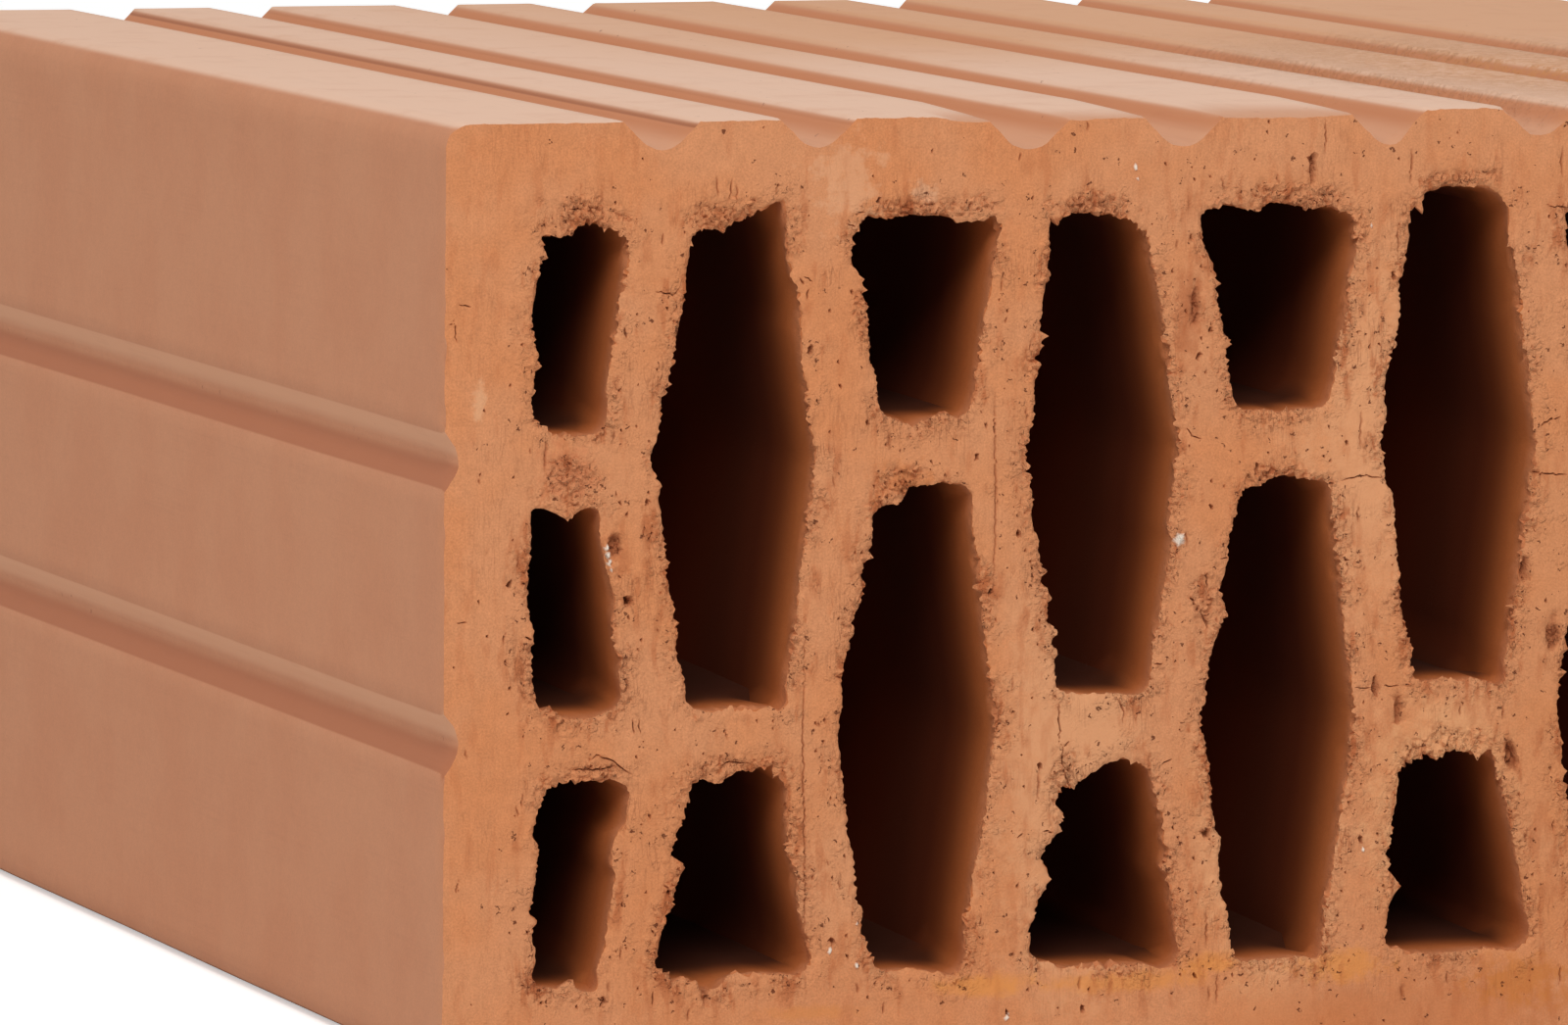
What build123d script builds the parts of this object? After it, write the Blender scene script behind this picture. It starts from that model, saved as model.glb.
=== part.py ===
from build123d import *
from math import asin, atan2, cos, hypot, sin
import os

# A hollow brick of fired clay. The section is pushed through a die along Y and cut off by a wire at
# both ends, so every chamber runs straight through. The brick lies on a long side: X is its length,
# Y the way of the chambers, Z up. The origin is on the floor, in the middle of the underside.
# All sizes are in millimetres.

# The whole brick
length = 240.0
height = 115.0
depth = 238.0
edge_round = 3.0

# Solid clay round the chambers
shell = 11.5
end_wall = 12.0

# Webs stand between the columns of chambers. Each one bends three times on its way down, and
# web_swing is how far a bend stands to either side of the web's middle line.
columns = 8
web = 8.0
web_swing = 2.2

# Ribs cross the columns. rib_level is how far a rib's middle is above or below the brick's middle.
rib = 8.5
rib_level = 17.0

# Chambers. The columns between the webs share the length that is left beside the narrow end chambers.
end_chamber = 9.6
chamber_round = 2.0

# Grooves that key the plaster run along the top in pairs, one pair over each chamber that is tall
# at the top. Their lips are sharp and their bottoms round, to the given radius. The underside is plain.
groove_width = 9.6
groove_depth = 3.4
groove_bottom = 3.0
groove_spacing = 20.0

# Shallower grooves run along the two ends, level with the ribs.
end_groove_width = 7.2
end_groove_depth = 1.8
end_groove_bottom = 3.2

chamber = (length - 2 * end_wall - 2 * end_chamber - (columns + 1) * web) / columns
pitch = chamber + web
first_web = -length / 2 + end_wall + end_chamber + web / 2
inner_height = height / 2 - shell


def groove(width, depth_of_cut, bottom_radius):
    """The area of one groove, open upwards: two straight flanks that run into a round bottom."""
    middle = depth_of_cut - bottom_radius
    flank = asin(bottom_radius / hypot(width / 2, middle)) + atan2(middle, width / 2)

    def on_bottom(turn):
        return (bottom_radius * sin(turn), -middle - bottom_radius * cos(turn))

    half = Line((width / 2, 0), on_bottom(flank))
    half += ThreePointArc(on_bottom(flank), on_bottom(flank / 2), on_bottom(0))
    return make_face(half + mirror(half, about=Plane.YZ) + Line((-width / 2, 0), (width / 2, 0)))


def web_bends(index, side):
    """The four corners of one face of a web, from the top down. side is +1 for the right face."""
    lean = web_swing if index % 2 == 0 else -web_swing
    middle = first_web + index * pitch + side * web / 2
    levels = (inner_height, rib_level, -rib_level, -inner_height)
    return [(middle + lean * turn, level) for turn, level in zip((1, -1, 1, -1), levels)]


def rib_band(level):
    """The band of clay that a rib fills, right across the section."""
    return Pos(0, level) * Rectangle(length, rib)


def column_chambers(index):
    """The chambers between two webs. Even columns are tall at the top, odd ones at the bottom."""
    opening = Polygon(*web_bends(index, 1), *reversed(web_bends(index + 1, -1)), align=None)
    level = -rib_level if index % 2 == 0 else rib_level
    return opening - rib_band(level)


def end_chambers(side):
    """The three narrow chambers at one end. side is -1 for the left end."""
    outer = side * (length / 2 - end_wall)
    inner = web_bends(0, -1) if side < 0 else web_bends(columns, 1)
    opening = Polygon((outer, inner_height), *inner, (outer, -inner_height), align=None)
    return opening - rib_band(rib_level) - rib_band(-rib_level)


def rounded_chambers(chambers):
    """The same chambers with every corner rounded as the die's cores are."""
    return fillet(chambers.vertices(), chamber_round)


def plaster_grooves():
    """A pair of grooves in the top over every other column, the ones that are tall at the top."""
    for index in range(0, columns, 2):
        middle = first_web + (index + 0.5) * pitch
        for side in (-1, 1):
            across = middle + side * groove_spacing / 2
            yield Pos(across, height / 2) * groove(groove_width, groove_depth, groove_bottom)


def end_grooves():
    """Two grooves on each end, level with the ribs."""
    for side in (-1, 1):
        for level in (-rib_level, rib_level):
            place = Pos(side * length / 2, level) * Rot(0, 0, -side * 90)
            yield place * groove(end_groove_width, end_groove_depth, end_groove_bottom)


def brick():
    """The section, pushed through along Y and set down on the floor."""
    section = Rectangle(length, height)
    section = fillet(section.vertices(), edge_round)
    section -= [*plaster_grooves(), *end_grooves()]
    for index in range(columns):
        section -= rounded_chambers(column_chambers(index))
    for side in (-1, 1):
        section -= rounded_chambers(end_chambers(side))
    return Pos(0, 0, height / 2) * extrude(Plane.XZ * section, depth / 2, both=True)


os.makedirs("parts", exist_ok=True)
export_step(brick(), "parts/hollow_clay_brick.step")
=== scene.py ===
# %% [markdown]
# # A hollow brick of fired clay
# The brick is pushed through a die as one long column of wet clay, and a wire cuts it off at both
# ends. The CAD model holds the true sizes: the outside, the grooves and every chamber. This lesson
# gives that model the look of the real thing: torn rims round the chambers, crumbs, pits and
# cracks in the cut face, a smoother skin outside, and clay that is never one flat colour.
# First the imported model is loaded. Everything here is in metres, in the same frame as the CAD.

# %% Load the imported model
import math
import random

import bmesh
import bpy
import numpy as np
from mathutils import Matrix, Vector, kdtree, noise
from mathutils.geometry import delaunay_2d_cdt


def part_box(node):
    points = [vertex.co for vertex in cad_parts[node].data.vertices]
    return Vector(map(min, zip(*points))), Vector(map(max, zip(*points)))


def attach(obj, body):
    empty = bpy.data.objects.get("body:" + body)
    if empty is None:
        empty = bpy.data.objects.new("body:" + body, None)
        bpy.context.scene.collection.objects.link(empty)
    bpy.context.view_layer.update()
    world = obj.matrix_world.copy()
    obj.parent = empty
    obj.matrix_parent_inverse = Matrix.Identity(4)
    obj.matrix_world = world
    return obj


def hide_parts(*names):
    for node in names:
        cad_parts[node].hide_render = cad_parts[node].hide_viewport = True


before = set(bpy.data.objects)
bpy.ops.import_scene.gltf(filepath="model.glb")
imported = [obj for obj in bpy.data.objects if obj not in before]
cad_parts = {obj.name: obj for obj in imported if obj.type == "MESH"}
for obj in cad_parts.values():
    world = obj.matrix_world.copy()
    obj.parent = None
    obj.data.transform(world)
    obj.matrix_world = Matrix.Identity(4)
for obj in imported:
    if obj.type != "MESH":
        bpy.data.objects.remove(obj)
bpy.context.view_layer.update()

NODE = "hollow_clay_brick"
MM = 0.001
brick_low, brick_high = [[value / MM for value in corner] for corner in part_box(NODE)]
print("brick in mm:", [round(b - a, 2) for a, b in zip(brick_low, brick_high)])

# %% [markdown]
# ## The camera
# The photograph was taken from close to the ground with a long lens, turned a little to the left
# of the cut face, so that the left end and the grooved top still show. A camera could be placed by
# eye, but here the lines of the chambers give it away: their corners lie at known places on the
# brick, so one place, one direction and one focal length fit them all. The small roll is there too,
# because the photographer did not hold the camera quite level.

# %% Camera
PICTURE_WIDTH = 1600
FOCAL_PIXELS = 11903.6

eye = Vector((-0.55075, -1.43537, 0.20875))
turn_left = math.radians(19.80)
look_down = math.radians(5.77)
roll = math.radians(0.448)

camera_data = bpy.data.cameras.new("long_lens")
camera_data.sensor_width = 36.0
camera_data.lens = FOCAL_PIXELS * camera_data.sensor_width / PICTURE_WIDTH
camera = bpy.data.objects.new("camera", camera_data)
bpy.context.scene.collection.objects.link(camera)

ahead = Vector((
    math.sin(turn_left) * math.cos(look_down),
    math.cos(turn_left) * math.cos(look_down),
    -math.sin(look_down),
))
aim = ahead.to_track_quat("-Z", "Y").to_matrix().to_4x4()
camera.matrix_world = Matrix.Translation(eye) @ aim @ Matrix.Rotation(roll, 4, "Z")
bpy.context.scene.camera = camera
print("camera looks along", [round(v, 4) for v in ahead], "lens", round(camera_data.lens, 2), "mm")

# %% [markdown]
# ## The section, read from the CAD
# Brick and chambers all have one section, which the CAD mesh already holds as the rim of its flat
# cut face. Reading it from there is better than typing it again: if a web gets thicker in the CAD,
# this script follows. A bmesh finds the edges that have the cut face on one side only, and a walk
# from edge to edge turns them into closed loops, in millimetres.

# %% Section loops
def section_loops(node, y):
    """The closed outlines of the flat face at y, in millimetres, the longest first."""
    shape = bmesh.new()
    shape.from_mesh(node.data)
    bmesh.ops.remove_doubles(shape, verts=shape.verts, dist=1e-6)
    flat = {face for face in shape.faces if all(abs(v.co.y - y) < 1e-6 for v in face.verts)}
    beside = {}
    for edge in shape.edges:
        if sum(face in flat for face in edge.link_faces) == 1:
            a, b = edge.verts
            beside.setdefault(a, []).append(b)
            beside.setdefault(b, []).append(a)
    loops = []
    while beside:
        walk = [next(iter(beside))]
        while True:
            onward = [v for v in beside.pop(walk[-1]) if v in beside]
            if not onward:
                break
            walk.append(onward[0])
        loops.append(np.array([(v.co.x / MM, v.co.z / MM) for v in walk]))
    shape.free()
    return sorted(map(anticlockwise, loops), key=lambda loop: -np.ptp(loop[:, 0]))


def anticlockwise(loop):
    """The same loop, turned round where it runs clockwise."""
    x, z = loop.T
    doubled_area = np.sum(x * np.roll(z, -1) - z * np.roll(x, -1))
    return loop if doubled_area > 0 else loop[::-1]


brick_cad = bpy.data.objects[NODE]
outline, *chambers = section_loops(brick_cad, brick_low[1] * MM)
chambers.sort(key=lambda loop: (round(loop[:, 0].mean() / 10), loop[:, 1].mean()))
print("outline points:", len(outline), "chambers:", len(chambers))

# %% [markdown]
# ## Even steps along a loop
# Torn clay needs points every half millimetre at a rim, but deep in a chamber the wall is smooth
# and a few points will do. This helper lays points along a loop at any spacing. It keeps sharp
# corners, such as the lip of a groove, and remembers how far round each point is, from 0 to 1, so
# that a fine ring can later be stitched to a coarse one.

# %% Resampling
def even_steps(loop, step, corner=math.radians(14)):
    """Points about step apart along a closed loop: rows of x, z and the way round, 0 to 1."""
    ahead_of = np.roll(loop, -1, axis=0) - loop
    length = np.hypot(*ahead_of.T)
    way = np.concatenate([[0], np.cumsum(length)])
    heading = np.arctan2(ahead_of[:, 1], ahead_of[:, 0])
    bend = np.abs((heading - np.roll(heading, 1) + math.pi) % (2 * math.pi) - math.pi)
    stops = sorted({0.0, way[-1], *way[:-1][bend > corner]})
    marks = []
    for start, end in zip(stops, stops[1:]):
        count = max(1, round((end - start) / step))
        marks.extend(np.linspace(start, end, count, endpoint=False))
    closed = np.vstack([loop, loop[:1]])
    x = np.interp(marks, way, closed[:, 0])
    z = np.interp(marks, way, closed[:, 1])
    return np.column_stack([x, z, np.array(marks) / way[-1]])


def inside(loop, spots):
    """Which of the spots lie inside the loop: a ray to the right crosses it an odd number of times."""
    ax, az = loop[:, 0], loop[:, 1]
    bx, bz = np.roll(ax, -1), np.roll(az, -1)
    x, z = spots[:, 0, None], spots[:, 1, None]
    passes = (az > z) != (bz > z)
    rise = np.where(bz == az, 1.0, bz - az)
    meets = ax + (z - az) / rise * (bx - ax)
    return (passes & (x < meets)).sum(axis=1) % 2 == 1


print("rim length of the chambers:", round(sum(even_steps(c, 1).shape[0] for c in chambers)), "mm")

# %% [markdown]
# ## Crumbs from a cell pattern
# Where the wire tears clay, what stays is a heap of broken crumbs with sharp creases between them.
# Smooth noise looks like dough there. A Voronoi pattern is closer: every cell becomes one crumb,
# with a height of its own, and the difference between the distances to the nearest two middles
# falls to nothing in the creases. The place is bent by noise first, so that no edge is straight.

# %% Crumbs and waves
noise.seed_set(4)       # without a seed, noise_vector takes its offsets from the clock


def crumb(x, y, z, size):
    """Height of a field of broken crumbs, 0 to 1: each at its own level, with creases between them."""
    spot = Vector((x, y, z)) / size
    spot += 0.5 * noise.noise_vector(1.3 * spot)
    distances, centres = noise.voronoi(spot)
    level = 0.5 + 0.5 * noise.cell(7.3 * centres[0])
    crease = min(1.0, (distances[1] - distances[0]) / 0.45)
    return crease * (0.35 + 0.65 * level)


def wave(x, y, z, size):
    """Smooth noise from about -1 to 1, with swells about size apart."""
    return noise.noise(Vector((x, y, z)) / size)


def ease(value):
    """A soft step: 0 below 0, 1 above 1, and an S curve between."""
    value = min(1.0, max(0.0, value))
    return value * value * (3 - 2 * value)


print("a crumb's height at three places:", [round(crumb(k, 0, 0, 1.3), 2) for k in range(3)])

# %% [markdown]
# ## The torn rims, drawn point by point
# These are the lines that make this brick this one. On a real cut the wire pulls crumbs out of one
# place and pushes them over the next, so no rim is straight. Noise alone could tear the rims, but
# it would be some other brick. So the rims that the photograph shows are read off it, in
# millimetres: x from the middle of the brick, z above the floor, a point wherever the line turns.

# %% Rims of the near cut
NEAR_RIMS = [
    # Left end, upper chamber: along the top, down the left side, along the bottom.
    (-107.0, 101.3), (-105.2, 100.8), (-104.2, 101.2), (-101.6, 103.0), (-100.3, 103.0),
    (-99.6, 101.8), (-97.2, 100.9), (-96.7, 101.0), (-107.3, 99.0), (-108.2, 95.5),
    (-108.6, 93.0), (-108.8, 90.2), (-108.3, 89.5), (-107.9, 86.8), (-107.9, 85.0),
    (-108.8, 80.8), (-107.6, 79.0), (-106.8, 78.1), (-105.8, 77.4), (-103.0, 77.3), (-100.2, 77.9),
    # Left end, middle chamber.
    (-108.6, 68.5), (-107.5, 68.6), (-105.9, 67.9), (-104.2, 67.0), (-102.8, 68.0),
    (-101.4, 68.6), (-100.3, 68.2), (-100.0, 66.0), (-99.9, 64.0), (-99.2, 61.0),
    (-98.0, 57.6), (-98.6, 54.5), (-98.2, 52.5), (-97.4, 50.5), (-97.5, 47.0), (-98.5, 44.0),
    (-108.7, 65.5), (-108.7, 62.0), (-109.2, 59.0), (-108.9, 56.0), (-108.3, 54.0),
    (-108.4, 48.0), (-107.8, 45.2), (-107.3, 44.1), (-106.2, 45.0), (-104.7, 43.4), (-101.0, 43.2),
    # Left end, lower chamber.
    (-106.7, 34.5), (-105.7, 35.0), (-104.6, 35.6), (-99.3, 35.4), (-96.6, 34.8), (-96.1, 33.8),
    (-107.2, 33.0), (-107.9, 31.5), (-108.2, 29.5), (-107.4, 27.5), (-107.8, 25.0),
    (-108.5, 20.0), (-108.1, 17.0), (-107.7, 13.9), (-108.2, 12.2), (-107.6, 10.8),
    (-106.4, 10.8), (-105.3, 10.5), (-103.7, 11.7), (-103.1, 11.5), (-102.9, 10.6),
    (-100.1, 10.2), (-100.1, 12.6), (-99.2, 15.2), (-98.7, 18.4), (-98.3, 21.1),
    # First column, tall chamber, then the short one below it.
    (-87.9, 101.3), (-84.6, 101.0), (-83.0, 102.6), (-81.2, 103.0), (-79.0, 104.2),
    (-77.3, 104.9), (-76.8, 102.0), (-76.5, 97.5), (-75.9, 96.0), (-75.2, 95.0),
    (-88.8, 99.5), (-89.5, 93.0), (-92.0, 81.0), (-93.6, 74.0), (-92.9, 72.5), (-92.3, 71.0),
    (-92.6, 69.3), (-91.9, 65.0), (-91.0, 58.0), (-90.1, 54.0), (-90.0, 50.0), (-89.2, 47.5),
    (-88.5, 44.2),
    (-88.2, 33.5), (-86.8, 35.2), (-84.6, 34.4), (-82.0, 36.1), (-80.3, 35.8), (-77.9, 36.8),
    (-77.4, 35.5), (-76.0, 31.0), (-75.9, 26.0), (-74.8, 23.0), (-74.3, 19.0), (-73.2, 12.0),
    (-89.6, 29.0), (-90.7, 26.3), (-88.9, 24.7), (-90.0, 21.5), (-91.2, 19.0), (-91.8, 16.5),
    (-92.6, 12.8), (-90.8, 11.9), (-90.3, 10.8), (-88.9, 11.5), (-87.6, 10.8), (-86.8, 9.7),
    (-84.6, 9.6), (-84.0, 10.6), (-83.0, 11.6), (-80.6, 11.5), (-77.0, 11.3), (-72.6, 11.9),
    # Second column, short and tall.
    (-66.0, 102.8), (-63.7, 102.6), (-60.0, 102.9), (-56.0, 102.9), (-54.6, 102.0),
    (-51.2, 101.9), (-50.0, 102.6), (-67.2, 101.2), (-67.9, 99.5), (-67.9, 97.0), (-66.5, 95.4),
    (-66.4, 93.6), (-67.0, 92.9), (-66.0, 92.5), (-65.8, 88.2), (-65.7, 85.4), (-64.9, 83.6),
    (-64.2, 79.6), (-60.2, 77.3), (-59.0, 78.0), (-56.0, 79.2), (-54.5, 78.3),
    (-65.2, 66.5), (-63.0, 67.7), (-61.5, 68.0), (-60.0, 69.8), (-58.5, 70.2), (-56.0, 70.3),
    (-54.6, 70.0), (-65.2, 63.0), (-66.3, 59.5), (-66.0, 57.3), (-67.8, 53.6), (-67.2, 52.9),
    (-68.9, 48.0), (-69.2, 41.0), (-68.7, 34.5), (-68.2, 31.0), (-68.0, 28.0), (-67.2, 24.6),
    (-66.9, 20.0), (-65.8, 18.3), (-66.7, 17.0), (-65.3, 14.5), (-64.0, 11.5), (-60.0, 11.3),
    (-54.0, 10.4),
    # Third column, tall and short.
    (-42.5, 102.6), (-41.5, 101.2), (-40.8, 102.4), (-36.0, 102.6), (-33.5, 102.3),
    (-31.5, 101.2), (-30.3, 100.4), (-29.3, 97.0), (-28.0, 91.0), (-42.5, 98.0), (-42.9, 96.2),
    (-42.3, 95.6), (-43.3, 93.0), (-43.3, 60.5), (-42.7, 59.0), (-43.2, 58.0), (-41.9, 56.0),
    (-42.5, 53.2), (-40.9, 51.9), (-41.9, 50.4), (-41.1, 49.2), (-40.6, 44.5), (-26.7, 60.0),
    (-27.5, 55.5), (-28.5, 50.0), (-29.3, 44.5),
    (-43.8, 12.0), (-43.1, 19.0), (-41.5, 21.5), (-42.8, 24.0), (-41.1, 26.4), (-39.7, 29.2),
    (-41.3, 30.9), (-38.8, 32.2), (-37.4, 33.5), (-34.3, 35.4), (-32.0, 35.9), (-30.2, 35.2),
    (-28.9, 34.0), (-28.2, 32.0), (-26.9, 26.4), (-26.0, 18.0), (-24.7, 11.5),
    # Fourth column, short and tall.
    (-22.8, 101.8), (-21.0, 103.0), (-19.0, 103.2), (-15.2, 102.3), (-14.0, 103.6),
    (-11.5, 103.6), (-8.8, 102.8), (-7.0, 103.2), (-3.6, 102.0), (-18.0, 79.0), (-16.5, 78.3),
    (-7.0, 78.4), (-18.0, 65.0), (-17.3, 67.3), (-16.2, 68.6), (-14.7, 68.8), (-12.9, 70.0),
    (-10.3, 70.1), (-8.5, 69.5), (-6.6, 69.4), (-18.7, 62.5), (-18.6, 60.2), (-19.8, 56.5),
    (-19.1, 55.4), (-18.9, 53.4), (-21.0, 48.0), (-22.1, 39.5), (-21.2, 35.6), (-20.8, 33.0),
    (-20.0, 26.9), (-19.1, 25.5), (-19.7, 22.8), (-19.1, 19.5), (-17.9, 14.0), (-17.2, 11.0),
    # Fifth column, tall and short.
    (5.4, 103.6), (6.2, 102.1), (4.8, 99.0), (4.3, 96.0), (3.6, 93.7), (3.6, 89.5), (1.9, 82.0),
    (1.7, 72.0), (2.0, 68.9), (2.8, 67.8), (3.2, 65.5), (3.7, 60.0), (4.5, 52.0), (5.9, 48.0),
    (6.0, 44.8), (12.0, 44.4), (6.8, 104.3), (9.0, 105.1), (14.4, 105.2), (16.0, 104.5),
    (16.9, 103.5), (17.8, 99.0), (19.2, 94.0),
    (4.3, 32.5), (5.0, 33.8), (6.7, 34.6), (8.3, 35.0), (9.9, 34.4), (12.0, 35.7), (14.8, 34.2),
    (16.2, 35.3), (17.2, 33.0), (18.6, 28.5), (20.3, 21.0), (21.7, 11.5), (3.4, 26.0),
    (2.9, 20.9), (4.8, 18.9), (3.3, 16.8), (2.6, 12.5),
]
print("points drawn along the rims:", len(NEAR_RIMS))

# %% [markdown]
# ## Scoops and cracks between the chambers
# The wire leaves more than torn rims. It drags a piece out above a chamber and leaves a shallow
# scoop, and the clay cracks where it is bent. Narrow scoops of a millimetre or more are gouges,
# where a hard grain was dragged out. A sculptor would set these marks with a brush; numbers keep
# them repeatable. They are read from the photograph too, in the same way.

# %% Scoops and cracks on the near cut
# Each scoop: x, z, half its width, half its height, depth.
NEAR_SCOOPS = [
    (-102.2, 103.6, 7.8, 3.2, 0.35), (-104.2, 71.6, 5.0, 5.2, 0.17), (-101.5, 36.4, 6.0, 2.0, 0.3),
    (-98.1, 63.9, 0.8, 1.6, 1.2), (-96.5, 57.1, 0.6, 0.7, 1.1),
    (-83.6, 103.6, 6.6, 2.6, 0.4), (-83.0, 36.8, 6.6, 2.2, 0.35),
    (-61.6, 70.6, 4.2, 3.0, 0.4), (-58.0, 103.8, 9.5, 2.0, 0.25), (-67.0, 92.0, 1.1, 3.4, 0.2),
    (-36.0, 103.7, 7.5, 2.1, 0.3), (-40.3, 34.6, 2.8, 3.8, 0.4),
    (-12.0, 104.3, 9.0, 2.3, 0.25), (-13.0, 70.0, 6.0, 1.7, 0.3),
    (-23.5, 91.6, 0.8, 3.6, 1.1), (-24.2, 99.6, 0.5, 0.9, 1.1), (-22.4, 55.2, 2.0, 4.6, 0.3),
    (-21.2, 26.3, 0.6, 0.7, 1.0), (11.0, 105.9, 6.8, 1.9, 0.25), (10.8, 36.8, 6.6, 2.2, 0.35),
    (24.6, 49.2, 1.2, 2.8, 1.0), (-86.2, 9.0, 0.7, 1.5, 1.1),
    (0.9, 43.8, 0.5, 2.2, 1.0), (4.0, 40.9, 0.7, 2.2, 1.0), (20.6, 57.6, 0.8, 2.8, 1.0),
    (-8.3, 108.0, 0.4, 2.4, 1.0), (19.2, 34.6, 0.8, 2.4, 1.1),
]
# Each crack: its width, its depth, and the points along it.
NEAR_CRACKS = [
    (0.25, 0.5, (-104.3, 104.7), (-102.6, 104.3)), (0.2, 0.5, (-118.1, 93.4), (-116.5, 93.0)),
    (0.2, 0.4, (-118.6, 91.8), (-118.4, 88.7)), (0.25, 0.4, (-119.3, 91.0), (-118.3, 91.1)),
    (0.22, 0.5, (-93.3, 94.4), (-91.9, 94.1), (-91.0, 93.9), (-90.2, 94.7)),
    (0.3, 0.6, (-97.2, 90.2), (-96.9, 88.8)), (0.3, 0.5, (-75.0, 95.7), (-74.4, 94.8)),
    (0.22, 0.5, (-74.4, 96.0), (-73.2, 95.2)), (0.25, 0.5, (-73.7, 94.4), (-74.0, 93.0)),
    (0.22, 0.4, (-68.9, 102.2), (-67.8, 101.6)), (0.22, 0.4, (-68.0, 103.3), (-66.5, 103.5)),
    (0.3, 0.6, (-49.8, 78.2), (-49.6, 76.0)), (0.3, 0.7, (-5.9, 69.2), (-5.0, 69.0)),
    (0.22, 0.5, (-4.3, 69.3), (-1.5, 69.9), (1.6, 69.6)), (0.25, 0.6, (21.0, 69.7), (26.2, 69.2)),
    (0.3, 0.6, (22.3, 75.4), (24.0, 76.3), (25.2, 76.5)), (0.2, 0.4, (22.6, 102.8), (26.2, 102.2)),
    (0.2, 0.5, (-2.0, 43.7), (0.2, 43.6)), (0.2, 0.5, (1.8, 43.9), (4.0, 43.6)),
    (0.25, 0.5, (-70.0, 47.2), (-68.6, 47.3)), (0.25, 0.5, (-40.9, 43.0), (-40.8, 38.0)),
    (0.3, 0.3, (-33.3, 43.5), (-32.4, 41.6), (-32.4, 40.0)), (0.3, 0.6, (-28.5, 47.4), (-27.3, 47.3)),
    (0.3, 0.6, (-24.0, 55.5), (-23.0, 54.5)), (0.3, 0.6, (-22.5, 54.0), (-21.3, 51.5)),
    (0.22, 0.5, (-21.8, 58.5), (-21.5, 56.5)), (0.22, 0.5, (-20.0, 60.1), (-18.6, 60.2)),
    (0.22, 0.5, (-24.6, 76.3), (-23.8, 75.3), (-22.5, 75.0)),
    (0.25, 0.5, (-3.9, 59.9), (-3.2, 59.4), (-2.9, 58.6)),
    (0.22, 0.5, (-101.3, 37.7), (-100.5, 38.6), (-99.3, 38.3), (-98.2, 37.8), (-95.8, 36.0)),
    (0.25, 0.6, (-103.5, 37.0), (-99.3, 36.9), (-97.8, 37.2)), (0.2, 0.4, (-95.8, 43.0), (-95.6, 41.0)),
    (0.2, 0.4, (-95.1, 42.8), (-94.8, 41.0)), (0.22, 0.5, (-85.0, 36.9), (-83.3, 37.2), (-80.5, 36.9)),
    (0.22, 0.5, (-40.9, 38.4), (-40.3, 37.6), (-40.2, 35.5), (-39.6, 33.0)),
    (0.2, 0.5, (-39.4, 38.3), (-40.2, 37.6)), (0.25, 0.5, (-27.3, 35.0), (-26.0, 35.8)),
    (0.3, 0.6, (-42.9, 27.4), (-41.5, 27.3)), (0.25, 0.5, (-46.2, 26.6), (-45.4, 27.3)),
    (0.3, 0.6, (-109.5, 53.2), (-108.5, 52.9)), (0.2, 0.4, (-118.2, 55.2), (-116.8, 55.1)),
    (0.3, 0.3, (-73.8, 52.8), (-74.1, 41.0), (-73.6, 20.0), (-73.4, 7.4)),
    (0.4, 0.3, (-49.7, 82.0), (-49.4, 68.0), (-49.6, 55.0)),
    (0.25, 0.5, (-93.1, 9.8), (-93.1, 7.9)), (0.3, 0.6, (-100.2, 9.3), (-99.5, 8.9), (-99.8, 8.0)),
    (0.25, 0.5, (-91.8, 22.7), (-90.9, 21.9)), (0.25, 0.6, (-93.4, 17.3), (-92.9, 16.6)),
    (0.25, 0.5, (-108.9, 17.9), (-108.5, 17.3)), (0.25, 0.6, (-97.0, 20.8), (-97.0, 20.1)),
    (0.7, 0.5, (18.3, 36.6), (19.3, 35.2), (19.9, 33.8), (19.5, 32.4)),
]
print("scoops:", len(NEAR_SCOOPS), "cracks:", len(NEAR_CRACKS))

# %% [markdown]
# ## Scratches, pits and lime
# The wire also catches grains and draws them down as scratches. Small grains fall out and leave
# pits, and here and there a grain of lime sits in the clay, the only white thing on the brick.
# These need no more than a place and a size each, because the mesh code further down gives all
# marks of one kind the same form, with a little chance in it.

# %% Scratches, pits and lime on the near cut
# Each scratch runs upright: x, z of its upper end, its length and its width.
NEAR_SCRATCHES = [
    (-85.6, 108.3, 2.8, 0.3), (-83.7, 108.0, 3.0, 0.3), (-83.0, 107.3, 2.5, 0.3),
    (-37.9, 114.2, 1.5, 0.4),
    (-6.7, 113.9, 4.4, 0.25), (4.8, 110.2, 4.7, 0.4), (24.7, 110.0, 4.0, 0.4),
    (3.0, 100.5, 3.3, 0.3), (-26.2, 99.5, 1.3, 0.4), (-48.9, 95.0, 1.5, 0.4),
    (-45.5, 79.5, 2.0, 0.4), (-107.0, 77.0, 4.0, 0.5), (-63.2, 77.0, 2.5, 0.8),
    (-110.4, 63.0, 1.5, 0.3), (-96.5, 47.8, 1.6, 0.6), (-109.8, 34.5, 2.0, 0.3),
    (-118.0, 23.8, 1.4, 0.4), (-75.4, 29.0, 1.5, 0.5), (-50.7, 17.3, 1.3, 0.4),
    (-21.2, 17.0, 5.0, 0.4), (-66.8, 9.8, 1.5, 0.6), (-37.8, 9.5, 2.0, 0.5),
    (-20.9, 7.5, 2.0, 0.4), (-19.7, 9.0, 4.0, 0.4), (4.9, 6.8, 2.3, 0.8),
    (17.9, 41.0, 2.0, 0.4), (20.6, 59.5, 3.0, 0.7), (-43.5, 35.0, 4.0, 0.5),
    (-1.5, 78.0, 5.0, 0.4), (26.0, 8.5, 3.0, 0.4), (-109.0, 11.9, 2.2, 0.4),
    (-98.7, 11.2, 1.4, 0.5), (-117.8, 24.4, 1.8, 0.3), (-96.5, 15.6, 0.8, 0.3),
]
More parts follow.
